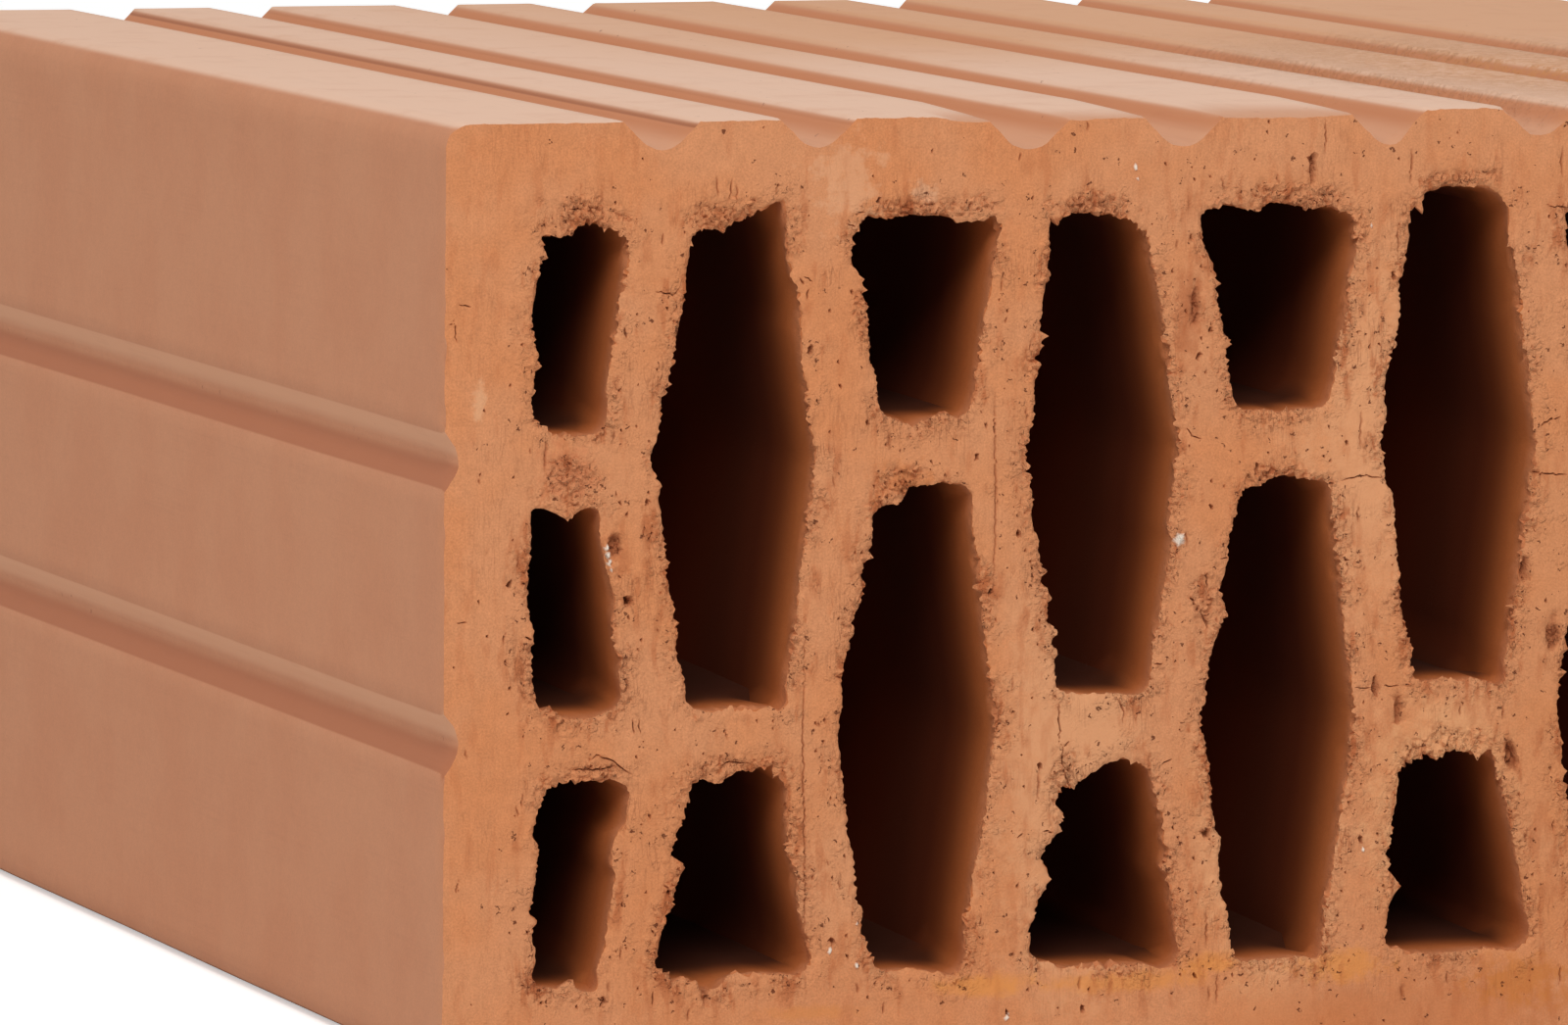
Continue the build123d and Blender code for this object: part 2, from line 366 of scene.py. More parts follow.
# Each pit: x, z, size across.
NEAR_PITS = [
    (-77.8, 106.9, 0.6), (-64.9, 104.9, 0.8), (-45.0, 104.8, 0.5), (-107.2, 102.6, 0.5),
    (-98.4, 105.2, 0.5), (-95.0, 110.4, 0.4), (-27.7, 108.6, 0.5), (-23.9, 106.7, 0.5),
    (-14.2, 113.6, 0.5), (-14.4, 112.3, 0.5), (-16.0, 109.0, 0.4), (3.0, 108.8, 0.5),
    (23.2, 101.3, 0.5), (-22.9, 96.0, 0.5), (2.6, 94.3, 0.9), (-95.6, 91.7, 0.5),
    (-73.5, 87.0, 1.0), (-69.9, 85.4, 0.5), (-69.6, 82.5, 0.6), (-72.6, 80.8, 0.5),
    (-114.8, 80.6, 0.5), (-97.5, 77.8, 0.5), (-66.1, 78.0, 0.7), (-63.7, 75.3, 0.6),
    (-57.8, 73.0, 0.5), (-56.0, 71.3, 0.5), (-51.9, 73.5, 0.8), (-111.1, 72.5, 0.5),
    (-97.6, 69.0, 0.6), (-21.6, 88.3, 0.7), (-22.8, 87.2, 0.5), (-23.2, 85.0, 0.9),
    (-15.2, 71.4, 0.7), (-13.8, 73.0, 0.5), (-21.2, 66.5, 0.8), (-1.0, 87.3, 0.5),
    (0.8, 86.0, 0.5), (-3.4, 74.0, 0.7), (-5.8, 76.0, 0.5), (-6.4, 72.4, 0.5),
    (-111.6, 59.6, 0.9), (-115.4, 57.6, 0.5), (-114.3, 53.4, 0.5), (-112.0, 50.3, 0.5),
    (-111.4, 47.1, 0.6), (-118.5, 49.8, 0.4), (-111.7, 44.0, 0.5), (-96.5, 57.1, 1.0),
    (-94.8, 52.4, 0.5), (-94.2, 69.0, 0.7), (-94.0, 70.2, 0.6), (-75.9, 44.9, 0.6),
    (-71.3, 42.0, 0.5), (-46.4, 63.9, 0.9), (-44.8, 60.5, 0.6), (-44.5, 59.6, 0.5),
    (-50.0, 57.0, 0.7), (-26.6, 61.0, 0.6), (-43.7, 50.2, 0.5), (23.5, 53.7, 0.6),
    (21.0, 62.4, 0.5), (12.5, 41.3, 0.5), (-95.3, 38.2, 0.5), (-93.6, 31.0, 0.6),
    (-84.1, 41.0, 0.6), (-90.4, 41.4, 0.5), (-86.8, 38.4, 0.5), (-91.1, 21.6, 0.7),
    (-94.0, 21.8, 0.5), (-96.6, 15.5, 0.5), (-109.0, 17.5, 0.6), (-111.3, 17.5, 0.4),
    (-68.6, 25.3, 0.5), (-70.1, 22.7, 0.5), (-74.3, 22.8, 0.5), (-49.7, 31.8, 0.5),
    (-50.0, 29.3, 0.5), (-45.7, 36.8, 0.5), (-45.4, 33.0, 0.5), (-49.2, 22.5, 0.5),
    (-43.3, 35.4, 1.0), (-39.2, 35.3, 0.6), (-25.8, 27.2, 0.6), (-25.1, 26.0, 0.5),
    (-26.0, 23.5, 0.5), (-23.0, 23.3, 0.5), (2.2, 19.0, 0.5), (-3.3, 18.5, 0.5),
    (-3.8, 15.5, 0.5), (22.5, 25.2, 0.6), (22.2, 19.6, 0.5), (1.4, 25.4, 0.5),
    (-70.0, 14.9, 1.0), (-68.1, 13.0, 0.6), (-65.4, 7.8, 0.5), (-40.6, 5.6, 0.5),
    (-37.4, 5.4, 0.9), (-22.7, 8.8, 0.7), (-24.6, 9.0, 0.5), (-17.7, 8.7, 0.5),
    (-2.3, 9.8, 0.5), (2.5, 2.2, 0.5), (-47.3, 5.3, 0.8), (-0.9, 24.8, 0.9),
    (-99.3, 8.9, 0.8), (-106.6, 9.0, 0.5), (-107.2, 8.9, 0.5), (-102.7, 8.2, 0.5),
]
# Each grain of lime: x, z, size across.
NEAR_LIME = [
    (-99.2, 63.7, 0.7), (-99.1, 62.8, 0.8), (-98.9, 61.9, 0.7), (-98.7, 61.0, 0.6),
    (-25.4, 62.7, 1.7), (-31.7, 108.3, 0.9), (-31.4, 106.9, 0.6), (-70.4, 13.8, 0.8),
    (-66.9, 11.8, 0.8), (-66.9, 16.9, 0.6), (-47.3, 4.7, 1.0), (-0.6, 23.6, 0.7),
    (-0.5, 100.6, 0.6),
]
print("scratches:", len(NEAR_SCRATCHES), "pits:", len(NEAR_PITS), "lime:", len(NEAR_LIME))

# %% [markdown]
# ## Marks by chance
# The photograph ends a little past the middle of the brick, and it never shows the far cut. Those
# parts still need the same wear, so their marks come by chance, from a seeded generator that gives
# the same brick on every run. The rule is the one seen in the photograph: above almost every
# chamber a scoop is torn out, wide but shallow, and clay hangs into one of its corners. Each cut
# then keeps all that is its own in one dictionary: its place, its marks and how fine its mesh is.

# %% Marks by chance
SHOWN_TO = 24.0     # the photograph shows the near cut up to this x


def chance_marks(seed, after_x):
    """Tears and scoops for the chambers whose middle lies right of after_x."""
    pick = random.Random(seed)
    tears, scoops = [], []
    for loop in chambers:
        left, right, top = loop[:, 0].min(), loop[:, 0].max(), loop[:, 1].max()
        middle = (left + right) / 2
        if middle < after_x:
            continue
        half_width = (right - left) * pick.uniform(0.3, 0.42)
        half_height = pick.uniform(1.6, 3.4) if top < 90 else pick.uniform(1.2, 2.0)
        at = middle + pick.uniform(-2.0, 2.0)
        scoops.append((at, top - 0.4, half_width, half_height, pick.uniform(0.5, 0.9)))
        for _ in range(7):
            x, z = loop[pick.randrange(len(loop))]
            tears.append((x, z, pick.uniform(0.9, 3.0), pick.uniform(-1.3, 1.0)))
        corner = pick.choice([left, right])
        tears.append((corner, top - 1.5, pick.uniform(1.4, 2.4), pick.uniform(-2.4, -1.2)))
    return tears, scoops


more_tears, more_scoops = chance_marks(seed=11, after_x=SHOWN_TO)
far_tears, far_scoops = chance_marks(seed=29, after_x=-200.0)
near_cut = dict(
    name="near", y=brick_low[1], into=1.0, seed=3.7, rims=NEAR_RIMS, tears=more_tears,
    scoops=NEAR_SCOOPS + more_scoops, cracks=NEAR_CRACKS, scratches=NEAR_SCRATCHES,
    pits=NEAR_PITS, lime=NEAR_LIME, tries=3450, rim_step=0.32, fine_step=0.37, open_step=1.0,
)
far_cut = dict(
    name="far", y=brick_high[1], into=-1.0, seed=61.3, rims=[], tears=far_tears,
    scoops=far_scoops, cracks=[], scratches=[], pits=[],
    lime=[(-63.0, 60.0, 1.2), (48.0, 21.0, 1.0), (84.0, 92.0, 0.9)],
    tries=180, rim_step=1.2, fine_step=1.3, open_step=2.4,
)
print("marks by chance:", len(more_tears), "near and", len(far_tears), "far tears")

# %% [markdown]
# ## How far a rim moves
# Every point of a chamber's rim moves along a line from the chamber's spine, the upright line down
# its middle. Moving along the outline's own normal would fold the rounded corners over themselves;
# lines from a spine never cross. Where the rim was drawn, the push runs from one drawn point to
# the next. Its broad share is the same line, smoothed over a few millimetres: that part will run
# on into the chamber, while the sharp rest stays at the cut.

# %% Drawn rims
CUT_SAG = 0.86          # the wire drags the clay at the cut down by this much
FURTHEST_PUSH = 3.9     # a drawn point further from the loop belongs to another chamber
LARGEST_MISS = 0.5      # and so does one that lies this far off every line from the spine
BROAD_WIDTH = 5.0


def spine_direction(loop, x, z):
    """The direction from the spine of a chamber to a point of its outline."""
    (left, base), (right, top) = loop.min(axis=0), loop.max(axis=0)
    half = (right - left) / 2
    line = Vector((x - (left + right) / 2, z - min(top - half, max(base + half, z))))
    return line.normalized()


def drawn_pushes(loop, marks):
    """The drawn points that lie on this chamber: their ways round, and how far each is pushed out."""
    ring = even_steps(loop, 0.25)
    lines = np.array([spine_direction(loop, x, z) for x, z, _ in ring])
    found = []
    for x, z in marks:
        apart = np.array([x, z + CUT_SAG]) - ring[:, :2]
        push = (apart * lines).sum(axis=1)
        miss = np.hypot(*(apart - push[:, None] * lines).T) + 0.05 * np.abs(push)
        k = miss.argmin()
        if abs(push[k]) < FURTHEST_PUSH and miss[k] < LARGEST_MISS:
            found.append((ring[k, 2], push[k]))
    return np.array(sorted(found)).reshape(-1, 2)


def drawn_line(drawn, ways, length):
    """The push at each way round, its broad share, and how far the drawing can be trusted there."""
    if len(drawn) == 0:
        return np.zeros(len(ways)), np.zeros(len(ways)), np.zeros(len(ways))
    gap = np.abs((ways[:, None] - drawn[None, :, 0] + 0.5) % 1.0 - 0.5).min(axis=1) * length
    trust = np.array([ease((4.6 - g) / 2.0) for g in gap])
    push = np.interp(ways, drawn[:, 0], drawn[:, 1], period=1.0) * trust
    nearby = np.linspace(-1.5, 1.5, 13)
    weight = np.exp(-nearby ** 2)
    broad = sum(
        w * np.interp(ways + shift, drawn[:, 0], drawn[:, 1], period=1.0)
        for w, shift in zip(weight, nearby * BROAD_WIDTH / length)
    ) / weight.sum() * trust
    return push, broad, trust


print("drawn points on the first chamber:", len(drawn_pushes(chambers[0], NEAR_RIMS)))

# %% [markdown]
# ## Crumbs, tears and corners
# Three more things move a rim. Crumbs roughen it all round, and some hang into the chamber. Where
# nothing was drawn, tears by chance and a slow wave shape it, and the wire opens the sharp corners
# of the die. Behind the cut each fades at its own rate: crumbs within a millimetre or two, broad
# bulges over some 35 mm, because the wire drags soft clay along with it.

# %% Rim of a chamber
SAG_DEPTH = 25.0
BROAD_DEPTH = 34.0      # wide bulges of a rim run this far into the chamber
DETAIL_DEPTH = 25.0     # behind this the detail has faded to nothing
LUMP_DEPTH = 1.2        # crumbs that hang into the chamber end this far behind the cut
LOSS_DEPTH = 1.8        # and small breaks in the clay end here
CORNER_REACH = 1.6


def rim_crumbs(x, z, rise, depth, cut):
    """Crumbs by chance at one spot of a rim, in millimetres; below 0 they hang into the chamber."""
    behind = cut["seed"] + 0.7 * depth
    calm = min(1.0, max(0.3, 0.65 + 2.0 * wave(x + cut["seed"], 7.0, z, 7.0)))
    rough = (1.2 + 0.3 * max(0.0, rise)) * calm
    large = crumb(x, behind, z, 2.3)
    middling = crumb(x, behind, z, 1.15)
    small = crumb(x, behind, z, 0.6)
    return rough * (0.62 - 0.5 * large - 0.7 * middling - 0.5 * small)


def chance_push(x, z, cut):
    """Tears by chance and a slow wave, for a rim that was not drawn."""
    push = 0.5 * wave(x, cut["seed"], z, 4.6)
    for tear_x, tear_z, reach, strength in cut["tears"]:
        apart = ((x - tear_x) ** 2 + (z - tear_z) ** 2) / reach ** 2
        if apart < 6:
            push += strength * math.exp(-apart)
    return push


def corner_push(ring, opening=0.8):
    """How far the wire opens each corner: the loop's bend close to a point says how much."""
    spots = ring[:, :2]
    count = max(1, round(CORNER_REACH / np.hypot(*(spots[1] - spots[0]))))
    back, on = spots - np.roll(spots, count, axis=0), np.roll(spots, -count, axis=0) - spots
    bend = np.arctan2(back[:, 0] * on[:, 1] - back[:, 1] * on[:, 0], (back * on).sum(axis=1))
    return np.array([opening * ease((angle - 0.35) / 0.45) for angle in bend])


def moved_ring(loop, step, depth, cut):
    """A chamber's ring of points at one depth behind the cut: rows of x, z, way round."""
    ring = even_steps(loop, step if loop[:, 0].mean() < SHOWN_TO else 1.4 * step)
    sag = CUT_SAG * math.exp(-(depth / SAG_DEPTH) ** 2)
    length = np.hypot(*(np.roll(loop, -1, axis=0) - loop).T).sum()
    drawn, broad, trust = drawn_line(drawn_pushes(loop, cut["rims"]), ring[:, 2], length)
    open_corners = (1.0 - trust) * corner_push(ring)
    drawn, broad = drawn + open_corners, broad + open_corners
    for k, row in enumerate(ring):
        x, z = row[:2]
        along = spine_direction(loop, x, z)
        push = 0.12 * wave(x, depth * 0.3, z, 18.0) * ease(depth / 12)
        push += broad[k] * math.exp(-(depth / BROAD_DEPTH) ** 2)
        if depth < DETAIL_DEPTH:
            detail = drawn[k] - broad[k]
            detail += (1.0 - 0.25 * trust[k]) * rim_crumbs(x, z - sag, along.y, depth, cut)
            detail += (1.0 - trust[k]) * chance_push(x, z - sag, cut)
            fade = LUMP_DEPTH
            if detail >= 0:
                fade = LOSS_DEPTH + (2.4 + 6.0 * max(0.0, along.y)) * detail
            push += detail * math.exp(-(depth / fade) ** 2)
        row[0] = x + along.x * push
        row[1] = z + along.y * push - sag
    return ring


first = moved_ring(chambers[0], near_cut["rim_step"], 0.0, near_cut)
print("points on the first chamber's rim:", len(first))

# %% [markdown]
# ## Relief of the cut face
# The cut face is not a plane. It waves a little, the wire leaves faint upright furrows, the scoops
# are full of crumbs, and close to a chamber patches of the clay have broken up. All of that is one
# function, which says how deep the face lies under the CAD's flat face at any spot. It never comes
# out of the CAD box, so the brick keeps its measured depth.

# %% Relief of a cut face
FACE_LEVEL = 0.34       # on average the face lies this far inside the CAD's
ROUNDED = 0.3           # a rim is worn round over this width
BROKEN = 2.3            # clay this close to a chamber is broken up
ROUGHENED = 3.6         # and some of it looks rough this far from one
GOUGE = 1.0             # a scoop this deep is a gouge, and dark inside


def scoop_share(x, z, cut):
    """How much of a scoop lies here, 0 to 1, and how deep that scoop is."""
    best, depth = 0.0, 0.0
    for at_x, at_z, half_width, half_height, scoop_depth in cut["scoops"]:
        across = (x - at_x) / half_width
        upward = (z - at_z) / half_height
        if abs(across) < 1.4 and abs(upward) < 1.4:
            ragged = 0.45 * wave(x, cut["seed"] + 9, z, 1.9)
            share = ease((1.0 - math.hypot(across, upward) + ragged) / 0.6)
            if share * scoop_depth > best * depth:
                best, depth = share, scoop_depth
    return best, depth


def relief(x, z, to_rim, cut):
    """Depth under the CAD's flat face at one spot, and how torn and how hollow the clay is there."""
    seed = cut["seed"]
    share, scoop_depth = scoop_share(x, z, cut)
    big = crumb(x, seed + 2, z, 1.0)
    small = crumb(x, seed + 4, z, 0.55)
    depth = FACE_LEVEL + 0.09 * wave(x, seed, z, 21.0) + 0.03 * wave(x / 1.1, seed, z / 13, 1.0)
    depth += 0.025 * wave(x, seed, z, 2.2)
    band = math.exp(-(to_rim / BROKEN) ** 2)
    patch = ease(0.6 + 1.9 * wave(x + 40, seed, z, 6.0))
    depth += band * (0.25 + 0.75 * patch) * (0.42 - 0.75 * big - 0.4 * small)
    depth += 0.28 * math.exp(-(to_rim / ROUNDED) ** 2)
    depth += share * (scoop_depth + 0.25 - 0.7 * big - 0.4 * small)
    spread = math.exp(-(to_rim / ROUGHENED) ** 2) * ease(0.5 + 2.2 * wave(x + 90, seed, z, 3.4))
    torn = max(0.8 * share, 0.85 * band * patch, 0.75 * spread)
    creases = 1.0 - ease(9.0 * min(big, small))
    # the hollow mask sets painted shade in the creases of torn clay and in scoops
    hollow = max(share, 0.8 * band * patch) * creases * 0.2
    # a gouge gets more painted shade inside
    if scoop_depth >= GOUGE:
        hollow = max(hollow, 0.65 * ease(1.6 * share - 0.4))
    return max(0.0, depth), torn, hollow


print("relief in the middle of a web:", [round(v, 3) for v in relief(-94.4, 57.0, 4.0, near_cut)])

# %% [markdown]
# ## One mesh for the whole brick
# The brick is one closed skin: two cut faces, the walls of all the chambers, and the outside. The
# lists below collect its points and faces. Beside each point go three numbers that the material
# will read as masks: how torn the clay is, how deep in a hollow it lies, which sets its painted
# shade, and whether it is lime.

# %% Lists of the mesh
CUT, SKIN, CHAMBER = 0, 1, 2
points, faces, finishes = [], [], []
masks = {"torn": [], "hollow": [], "lime": []}


def add_point(x, y, z, torn=0.0, hollow=0.0, lime=0.0):
    """Adds a point given in millimetres and returns its number."""
    points.append((x * MM, y * MM, z * MM))
    masks["torn"].append(torn)
    masks["hollow"].append(hollow)
    masks["lime"].append(lime)
    return len(points) - 1


def stitch(ring_a, ring_b, finish):
    """Triangles between two closed rings; each ring is a list of (point number, way round)."""
    a = b = 0
    while a < len(ring_a) or b < len(ring_b):
        next_a = ring_a[a + 1][1] if a + 1 < len(ring_a) else 1.0
        next_b = ring_b[b + 1][1] if b + 1 < len(ring_b) else 1.0
        here_a = ring_a[a % len(ring_a)][0]
        here_b = ring_b[b % len(ring_b)][0]
        if b >= len(ring_b) or (a < len(ring_a) and next_a <= next_b):
            faces.append((here_a, ring_a[(a + 1) % len(ring_a)][0], here_b))
            a += 1
        else:
            faces.append((here_a, ring_b[(b + 1) % len(ring_b)][0], here_b))
            b += 1
        finishes.append(finish)


print("masks:", sorted(masks))

# %% [markdown]
# ## Cracks, pits and grains as extra points
# A crack is only a quarter of a millimetre wide, far finer than the mesh. It still becomes real
# geometry: along its line go points in threes, one deep in the middle and one on each lip. A pit
# is a deep point with a small upright ring round it, and a grain of lime is the same turned
# outward. Once the face is triangulated, these turn into sharp little valleys that catch a real
# shadow, which a painted line never does. Each point also says how much painted shade darkens it,
# and how pale it is.

# %% Cracks and pits
MARK_STEP = 0.4         # points along a crack or a scratch stand this far apart
WIDE_DOT = 0.7          # from this size on, a pit or a grain gets a second, inner ring
LIME_RISE = 0.28        # grains of lime stand out of the clay by this much


def crack_points(path, width, depth, dark, pick):
    """Points along a crack or a scratch, as rows of x, z, extra depth, darkness of painted shade, lime.
    """
    lengths = [math.dist(a, b) for a, b in zip(path, path[1:])]
    found, passed = [], 0.0
    for (ax, az), (bx, bz), length in zip(path, path[1:], lengths):
        side = Vector(((bz - az) / length, -(bx - ax) / length))
        count = max(2, round(length / MARK_STEP))
        for k in range(count + 1):
            t = k / count
            strength = max(0.0, math.sin(math.pi * (passed + t * length) / sum(lengths))) ** 0.6
            wander = 0.2 * wave(ax + bx * t, 5.0, az + bz * t, 0.9) + pick.uniform(-0.06, 0.06)
            x = ax + (bx - ax) * t + side.x * wander
            z = az + (bz - az) * t + side.y * wander
            half = width * pick.uniform(0.4, 0.7)
            found.append((x, z, depth * strength * pick.uniform(0.6, 1.0), dark * strength, 0.0))
            found.append((x + side.x * half, z + side.y * half, 0.0, 0.0, 0.0))
            found.append((x - side.x * half, z - side.y * half, 0.0, 0.0, 0.0))
        passed += length
    return found


def dot_points(x, z, size, deep, dark, pale, pick):
    """Points of a pit, or of a grain if deep is below 0: its middle and an upright ragged ring."""
    found = [(x, z, deep, dark, pale)]
    lean = math.pi / 2 + pick.uniform(-0.5, 0.5)
    count = 5 if size < WIDE_DOT else 7
    for k in range(count):
        angle = (k + pick.uniform(-0.25, 0.25)) * 2 * math.pi / count
        reach = size / 2 * (1.0 + 0.4 * math.cos(2 * (angle - lean))) * pick.uniform(0.75, 1.25)
        for share, part in ((1.0, 0.0), (0.55, 0.85)):
            if part and size < WIDE_DOT:
                continue
            spot = (x + share * reach * math.cos(angle), z + share * reach * math.sin(angle))
            found.append((*spot, part * deep, part * dark, part * pale))
    return found


def marked_points(cut, pick):
    """The points of all the listed marks on a cut."""
    found = []
    for width, depth, *path in cut["cracks"]:
        found += crack_points(path, width, depth, min(1.0, 0.35 + 1.3 * depth), pick)
    for x, z, length, width in cut["scratches"]:
        lean = 0.06 * length * pick.uniform(-1.0, 1.0)
        found += crack_points([(x, z), (x + lean, z - length)], width, 0.3, 0.75, pick)
    for x, z, size in cut["pits"]:
        found += dot_points(x, z, size, 0.7 * size + 0.1, 0.9, 0.0, pick)
    for x, z, size in cut["lime"]:
        found += dot_points(x, z, size, -LIME_RISE, 0.0, 1.0, pick)
    return found


print("points in marks placed by hand:", len(marked_points(near_cut, random.Random(1))))

# %% [markdown]
# ## The cut faces
# A cut face is a sheet with 22 holes, and its rims are ragged. A constrained Delaunay
# triangulation handles that: it takes loose points and edges that must stay, and joins them with
# the best triangles. The loose points come from a jittered grid, fine near the rims and in the
# scoops, coarse on plain clay. Triangles that fall inside a chamber are dropped, and every point
# is then pushed in by the relief.

# %% Points of a cut face
ROW_STEP = 0.866        # rows this close, set off by half a step, make even triangles
DISORDER = 0.27         # a point moves by up to this share of a step


def jittered_grid(step, scatter):
    """Points over the whole section, in staggered rows with a little disorder."""
    xs = np.arange(brick_low[0] + step, brick_high[0], step)
    zs = np.arange(brick_low[2] + step, brick_high[2], step * ROW_STEP)
    grid = np.array([(x + (k % 2) * step / 2, z) for k, z in enumerate(zs) for x in xs])
    return grid + scatter.uniform(-DISORDER, DISORDER, grid.shape) * step


def in_clay(spots, rims):
    """Which spots lie in the clay: inside the outline and outside every chamber."""
    keep = inside(rims[0], spots)
    for rim in rims[1:]:
        low, high = rim.min(axis=0), rim.max(axis=0)
        close = np.nonzero(np.all((spots > low) & (spots < high), axis=1))[0]
        keep[close[inside(rim, spots[close])]] = False
    return keep


def search_tree(spots):
    """A tree that finds the nearest of many spots."""
    tree = kdtree.KDTree(len(spots))
    for k, (x, z) in enumerate(spots):
        tree.insert((x, 0.0, z), k)
    tree.balance()
    return tree


print("points in a grid of 5 mm:", len(jittered_grid(5.0, np.random.default_rng(1))))

# %% [markdown]
# ## Small marks all over
# Besides the listed marks there are small ones: comma-shaped pits and short upright scratches,
# most of them within a few millimetres of a chamber. They are scattered by chance, thinly where the
# photograph shows the cut and more densely beyond it, and each is kept only if it has clay all
# round it.

# %% Scattered marks
NEAREST_MARK = 0.8      # a mark closer to a chamber would break through its rim
NEAREST_SCRATCH = 1.4


def scattered_marks(cut, rims, tree, pick):
    """Points of small pits and scratches by chance, denser near the chambers."""
    found = []
    tries = np.array([
        (pick.uniform(brick_low[0], brick_high[0]), pick.uniform(brick_low[2], brick_high[2]))
        for _ in range(cut["tries"])
    ])
    for x, z in tries[in_clay(tries, rims)]:
        to_rim = tree.find((x, 0.0, z))[2]
        share = 0.03 + 0.75 * math.exp(-to_rim / 2.2)
        if x < SHOWN_TO:
            share *= 0.8
        if to_rim < NEAREST_MARK or pick.random() > share:
            continue
        if pick.random() < 0.6 or to_rim < NEAREST_SCRATCH:
            size = pick.uniform(0.3, 0.68)
            found += dot_points(x, z, size, 0.7 * size, pick.uniform(0.5, 1.0), 0.0, pick)
        else:
            path = [(x, z), (x + pick.uniform(-0.3, 0.3), z - pick.uniform(0.7, 2.2))]
            found += crack_points(path, 0.35, 0.3, pick.uniform(0.5, 0.95), pick)
    return found


print("places tried:", near_cut["tries"], "near and", far_cut["tries"], "far")

# %% [markdown]
# ## All the loose points
# The grid is laid three times, each with its own step, and each time only the points of one zone
# are kept: a fine one near the rims and in the scoops, a middling one beside it, and an open one on
# plain clay. No grid point comes close to a mark, which would blunt it.

# %% Loose points
NEAREST_POINT = 0.18    # marks keep this far from a rim
CLEAR_OF_MARKS = 0.27   # and grid points this far from a mark


def face_points(cut, rims, tree):
    """All loose points of a cut face: rows of x, z, extra depth, darkness of painted shade, lime, way
    to the rim.
    """
    pick = random.Random(int(cut["seed"] * 10))
    scatter = np.random.default_rng(int(cut["seed"] * 10))
    marks = np.array(marked_points(cut, pick) + scattered_marks(cut, rims, tree, pick))
    marks = marks[in_clay(marks[:, :2], rims)]
    busy = search_tree(np.vstack([marks[:, :2], rims[0]]))
    rows = []
    for mark in marks:
        to_rim = tree.find((mark[0], 0.0, mark[1]))[2]
        if to_rim > NEAREST_POINT:
            rows.append((*mark, to_rim))
    fine = cut["fine_step"]
    # Each zone: the step of its grid, and how far from a rim it begins and ends.
    zones = (
        (fine, 0.5 * fine, 3.6 * fine),
        (1.5 * fine, 3.6 * fine, 7.5 * fine),
        (cut["open_step"], 7.5 * fine, 99.0),
    )
    for zone, (step, nearest, furthest) in enumerate(zones):
        for shown in (True, False):
            grid = jittered_grid(step if shown else 1.35 * step, scatter)
            grid = grid[(grid[:, 0] < SHOWN_TO + 2) == shown]
            grid = grid[in_clay(grid, rims)]
            for x, z in grid:
                to_rim = tree.find((x, 0.0, z))[2]
                if to_rim < 0.5 * fine or busy.find((x, 0.0, z))[2] < CLEAR_OF_MARKS:
                    continue
                in_scoop = scoop_share(x, z, cut)[0] > 0.02
                in_zone = nearest <= to_rim < furthest
                if (in_scoop and zone == 0) or (in_zone and not in_scoop):
                    rows.append((x, z, 0.0, 0.0, 0.0, to_rim))
    return rows


print("finest step of the grids in mm:", near_cut["fine_step"], "near,", far_cut["fine_step"], "far")

# %% [markdown]
# ## Triangulating a cut face
# The rims come first, as edges that must stay, and after them the loose points. The triangulation
# hands back its own list of points, and says which of ours each one was. A triangle is kept if
# its middle lies in the clay, and only those whose corners all sit on rims need that test.

# %% Build a cut face
def cut_rings(cut):
    """The ragged rims at a cut: the outline first, then one ring for each chamber."""
    rings = [outline_ring(0.0, cut["rim_step"] * 1.9, cut)]
    for loop in chambers:
        rings.append(moved_ring(loop, cut["rim_step"], 0.0, cut))
    return rings


def build_cut(cut):
    """Adds a cut face and returns, for each rim, its ring of (point number, way round) and depths."""
    rings = cut_rings(cut)
    rims = [ring[:, :2] for ring in rings]
    tree = search_tree(np.vstack(rims[1:]))
    loose = face_points(cut, rims, tree)

    flat, depths, edges, numbers = [], [], [], []
    for ring in rings:
        start = len(flat)
        for k, (x, z, _) in enumerate(ring):
            depth, torn, hollow = relief(x, z, tree.find((x, 0.0, z))[2], cut)
            flat.append(Vector((x, z)))
            depths.append(depth)
            edges.append((start + k, start + (k + 1) % len(ring)))
            numbers.append(add_point(x, cut["y"] + cut["into"] * depth, z, torn, 0.5 * hollow))
    rim_count = len(flat)
    for x, z, extra, dark, lime, to_rim in loose:
        depth, torn, hollow = relief(x, z, to_rim, cut)
        flat.append(Vector((x, z)))
        depth = max(0.0, depth + extra)
        hollow = max(dark, hollow * (1.0 - lime))
        numbers.append(add_point(x, cut["y"] + cut["into"] * depth, z, torn, hollow, lime))

    met, _, triangles, origin, _, _ = delaunay_2d_cdt(flat, edges, [], 1, 1e-4)
    ours = [source[0] if source else None for source in origin]
    spots = np.array([(v.x, v.y) for v in met])
    triangles = np.array(triangles)
    middles = spots[triangles].mean(axis=1)
    on_rim = np.array([k is not None and k < rim_count for k in ours])
    check = np.nonzero(on_rim[triangles].all(axis=1))[0]
    keep = np.ones(len(triangles), bool)
    keep[check] = in_clay(middles[check], rims)
    lost = 0
    for a, b, c in triangles[keep]:
        corners = [ours[a], ours[b], ours[c]]
        if None in corners:
            lost += 1
            continue
        faces.append(tuple(numbers[k] for k in corners))
        finishes.append(CUT)
    result, start = [], 0
    for ring in rings:
        count = len(ring)
        result.append((
            [(numbers[start + k], ring[k, 2]) for k in range(count)],
            depths[start:start + count],
        ))
        start += count
    print(cut["name"], "cut:", int(keep.sum()), "triangles,", lost, "lost")
    return result

# %% [markdown]
# ## The outside of the brick
# The die leaves the outside smooth, with grooves for the plaster. Its ring of points follows the
# outline of the CAD and only moves inward: a slow wave of a quarter of a millimetre, small nicks
# along the cut edge, and one worn stretch of the top edge, where the photograph shows the plateaus
# a little lower than their neighbours.

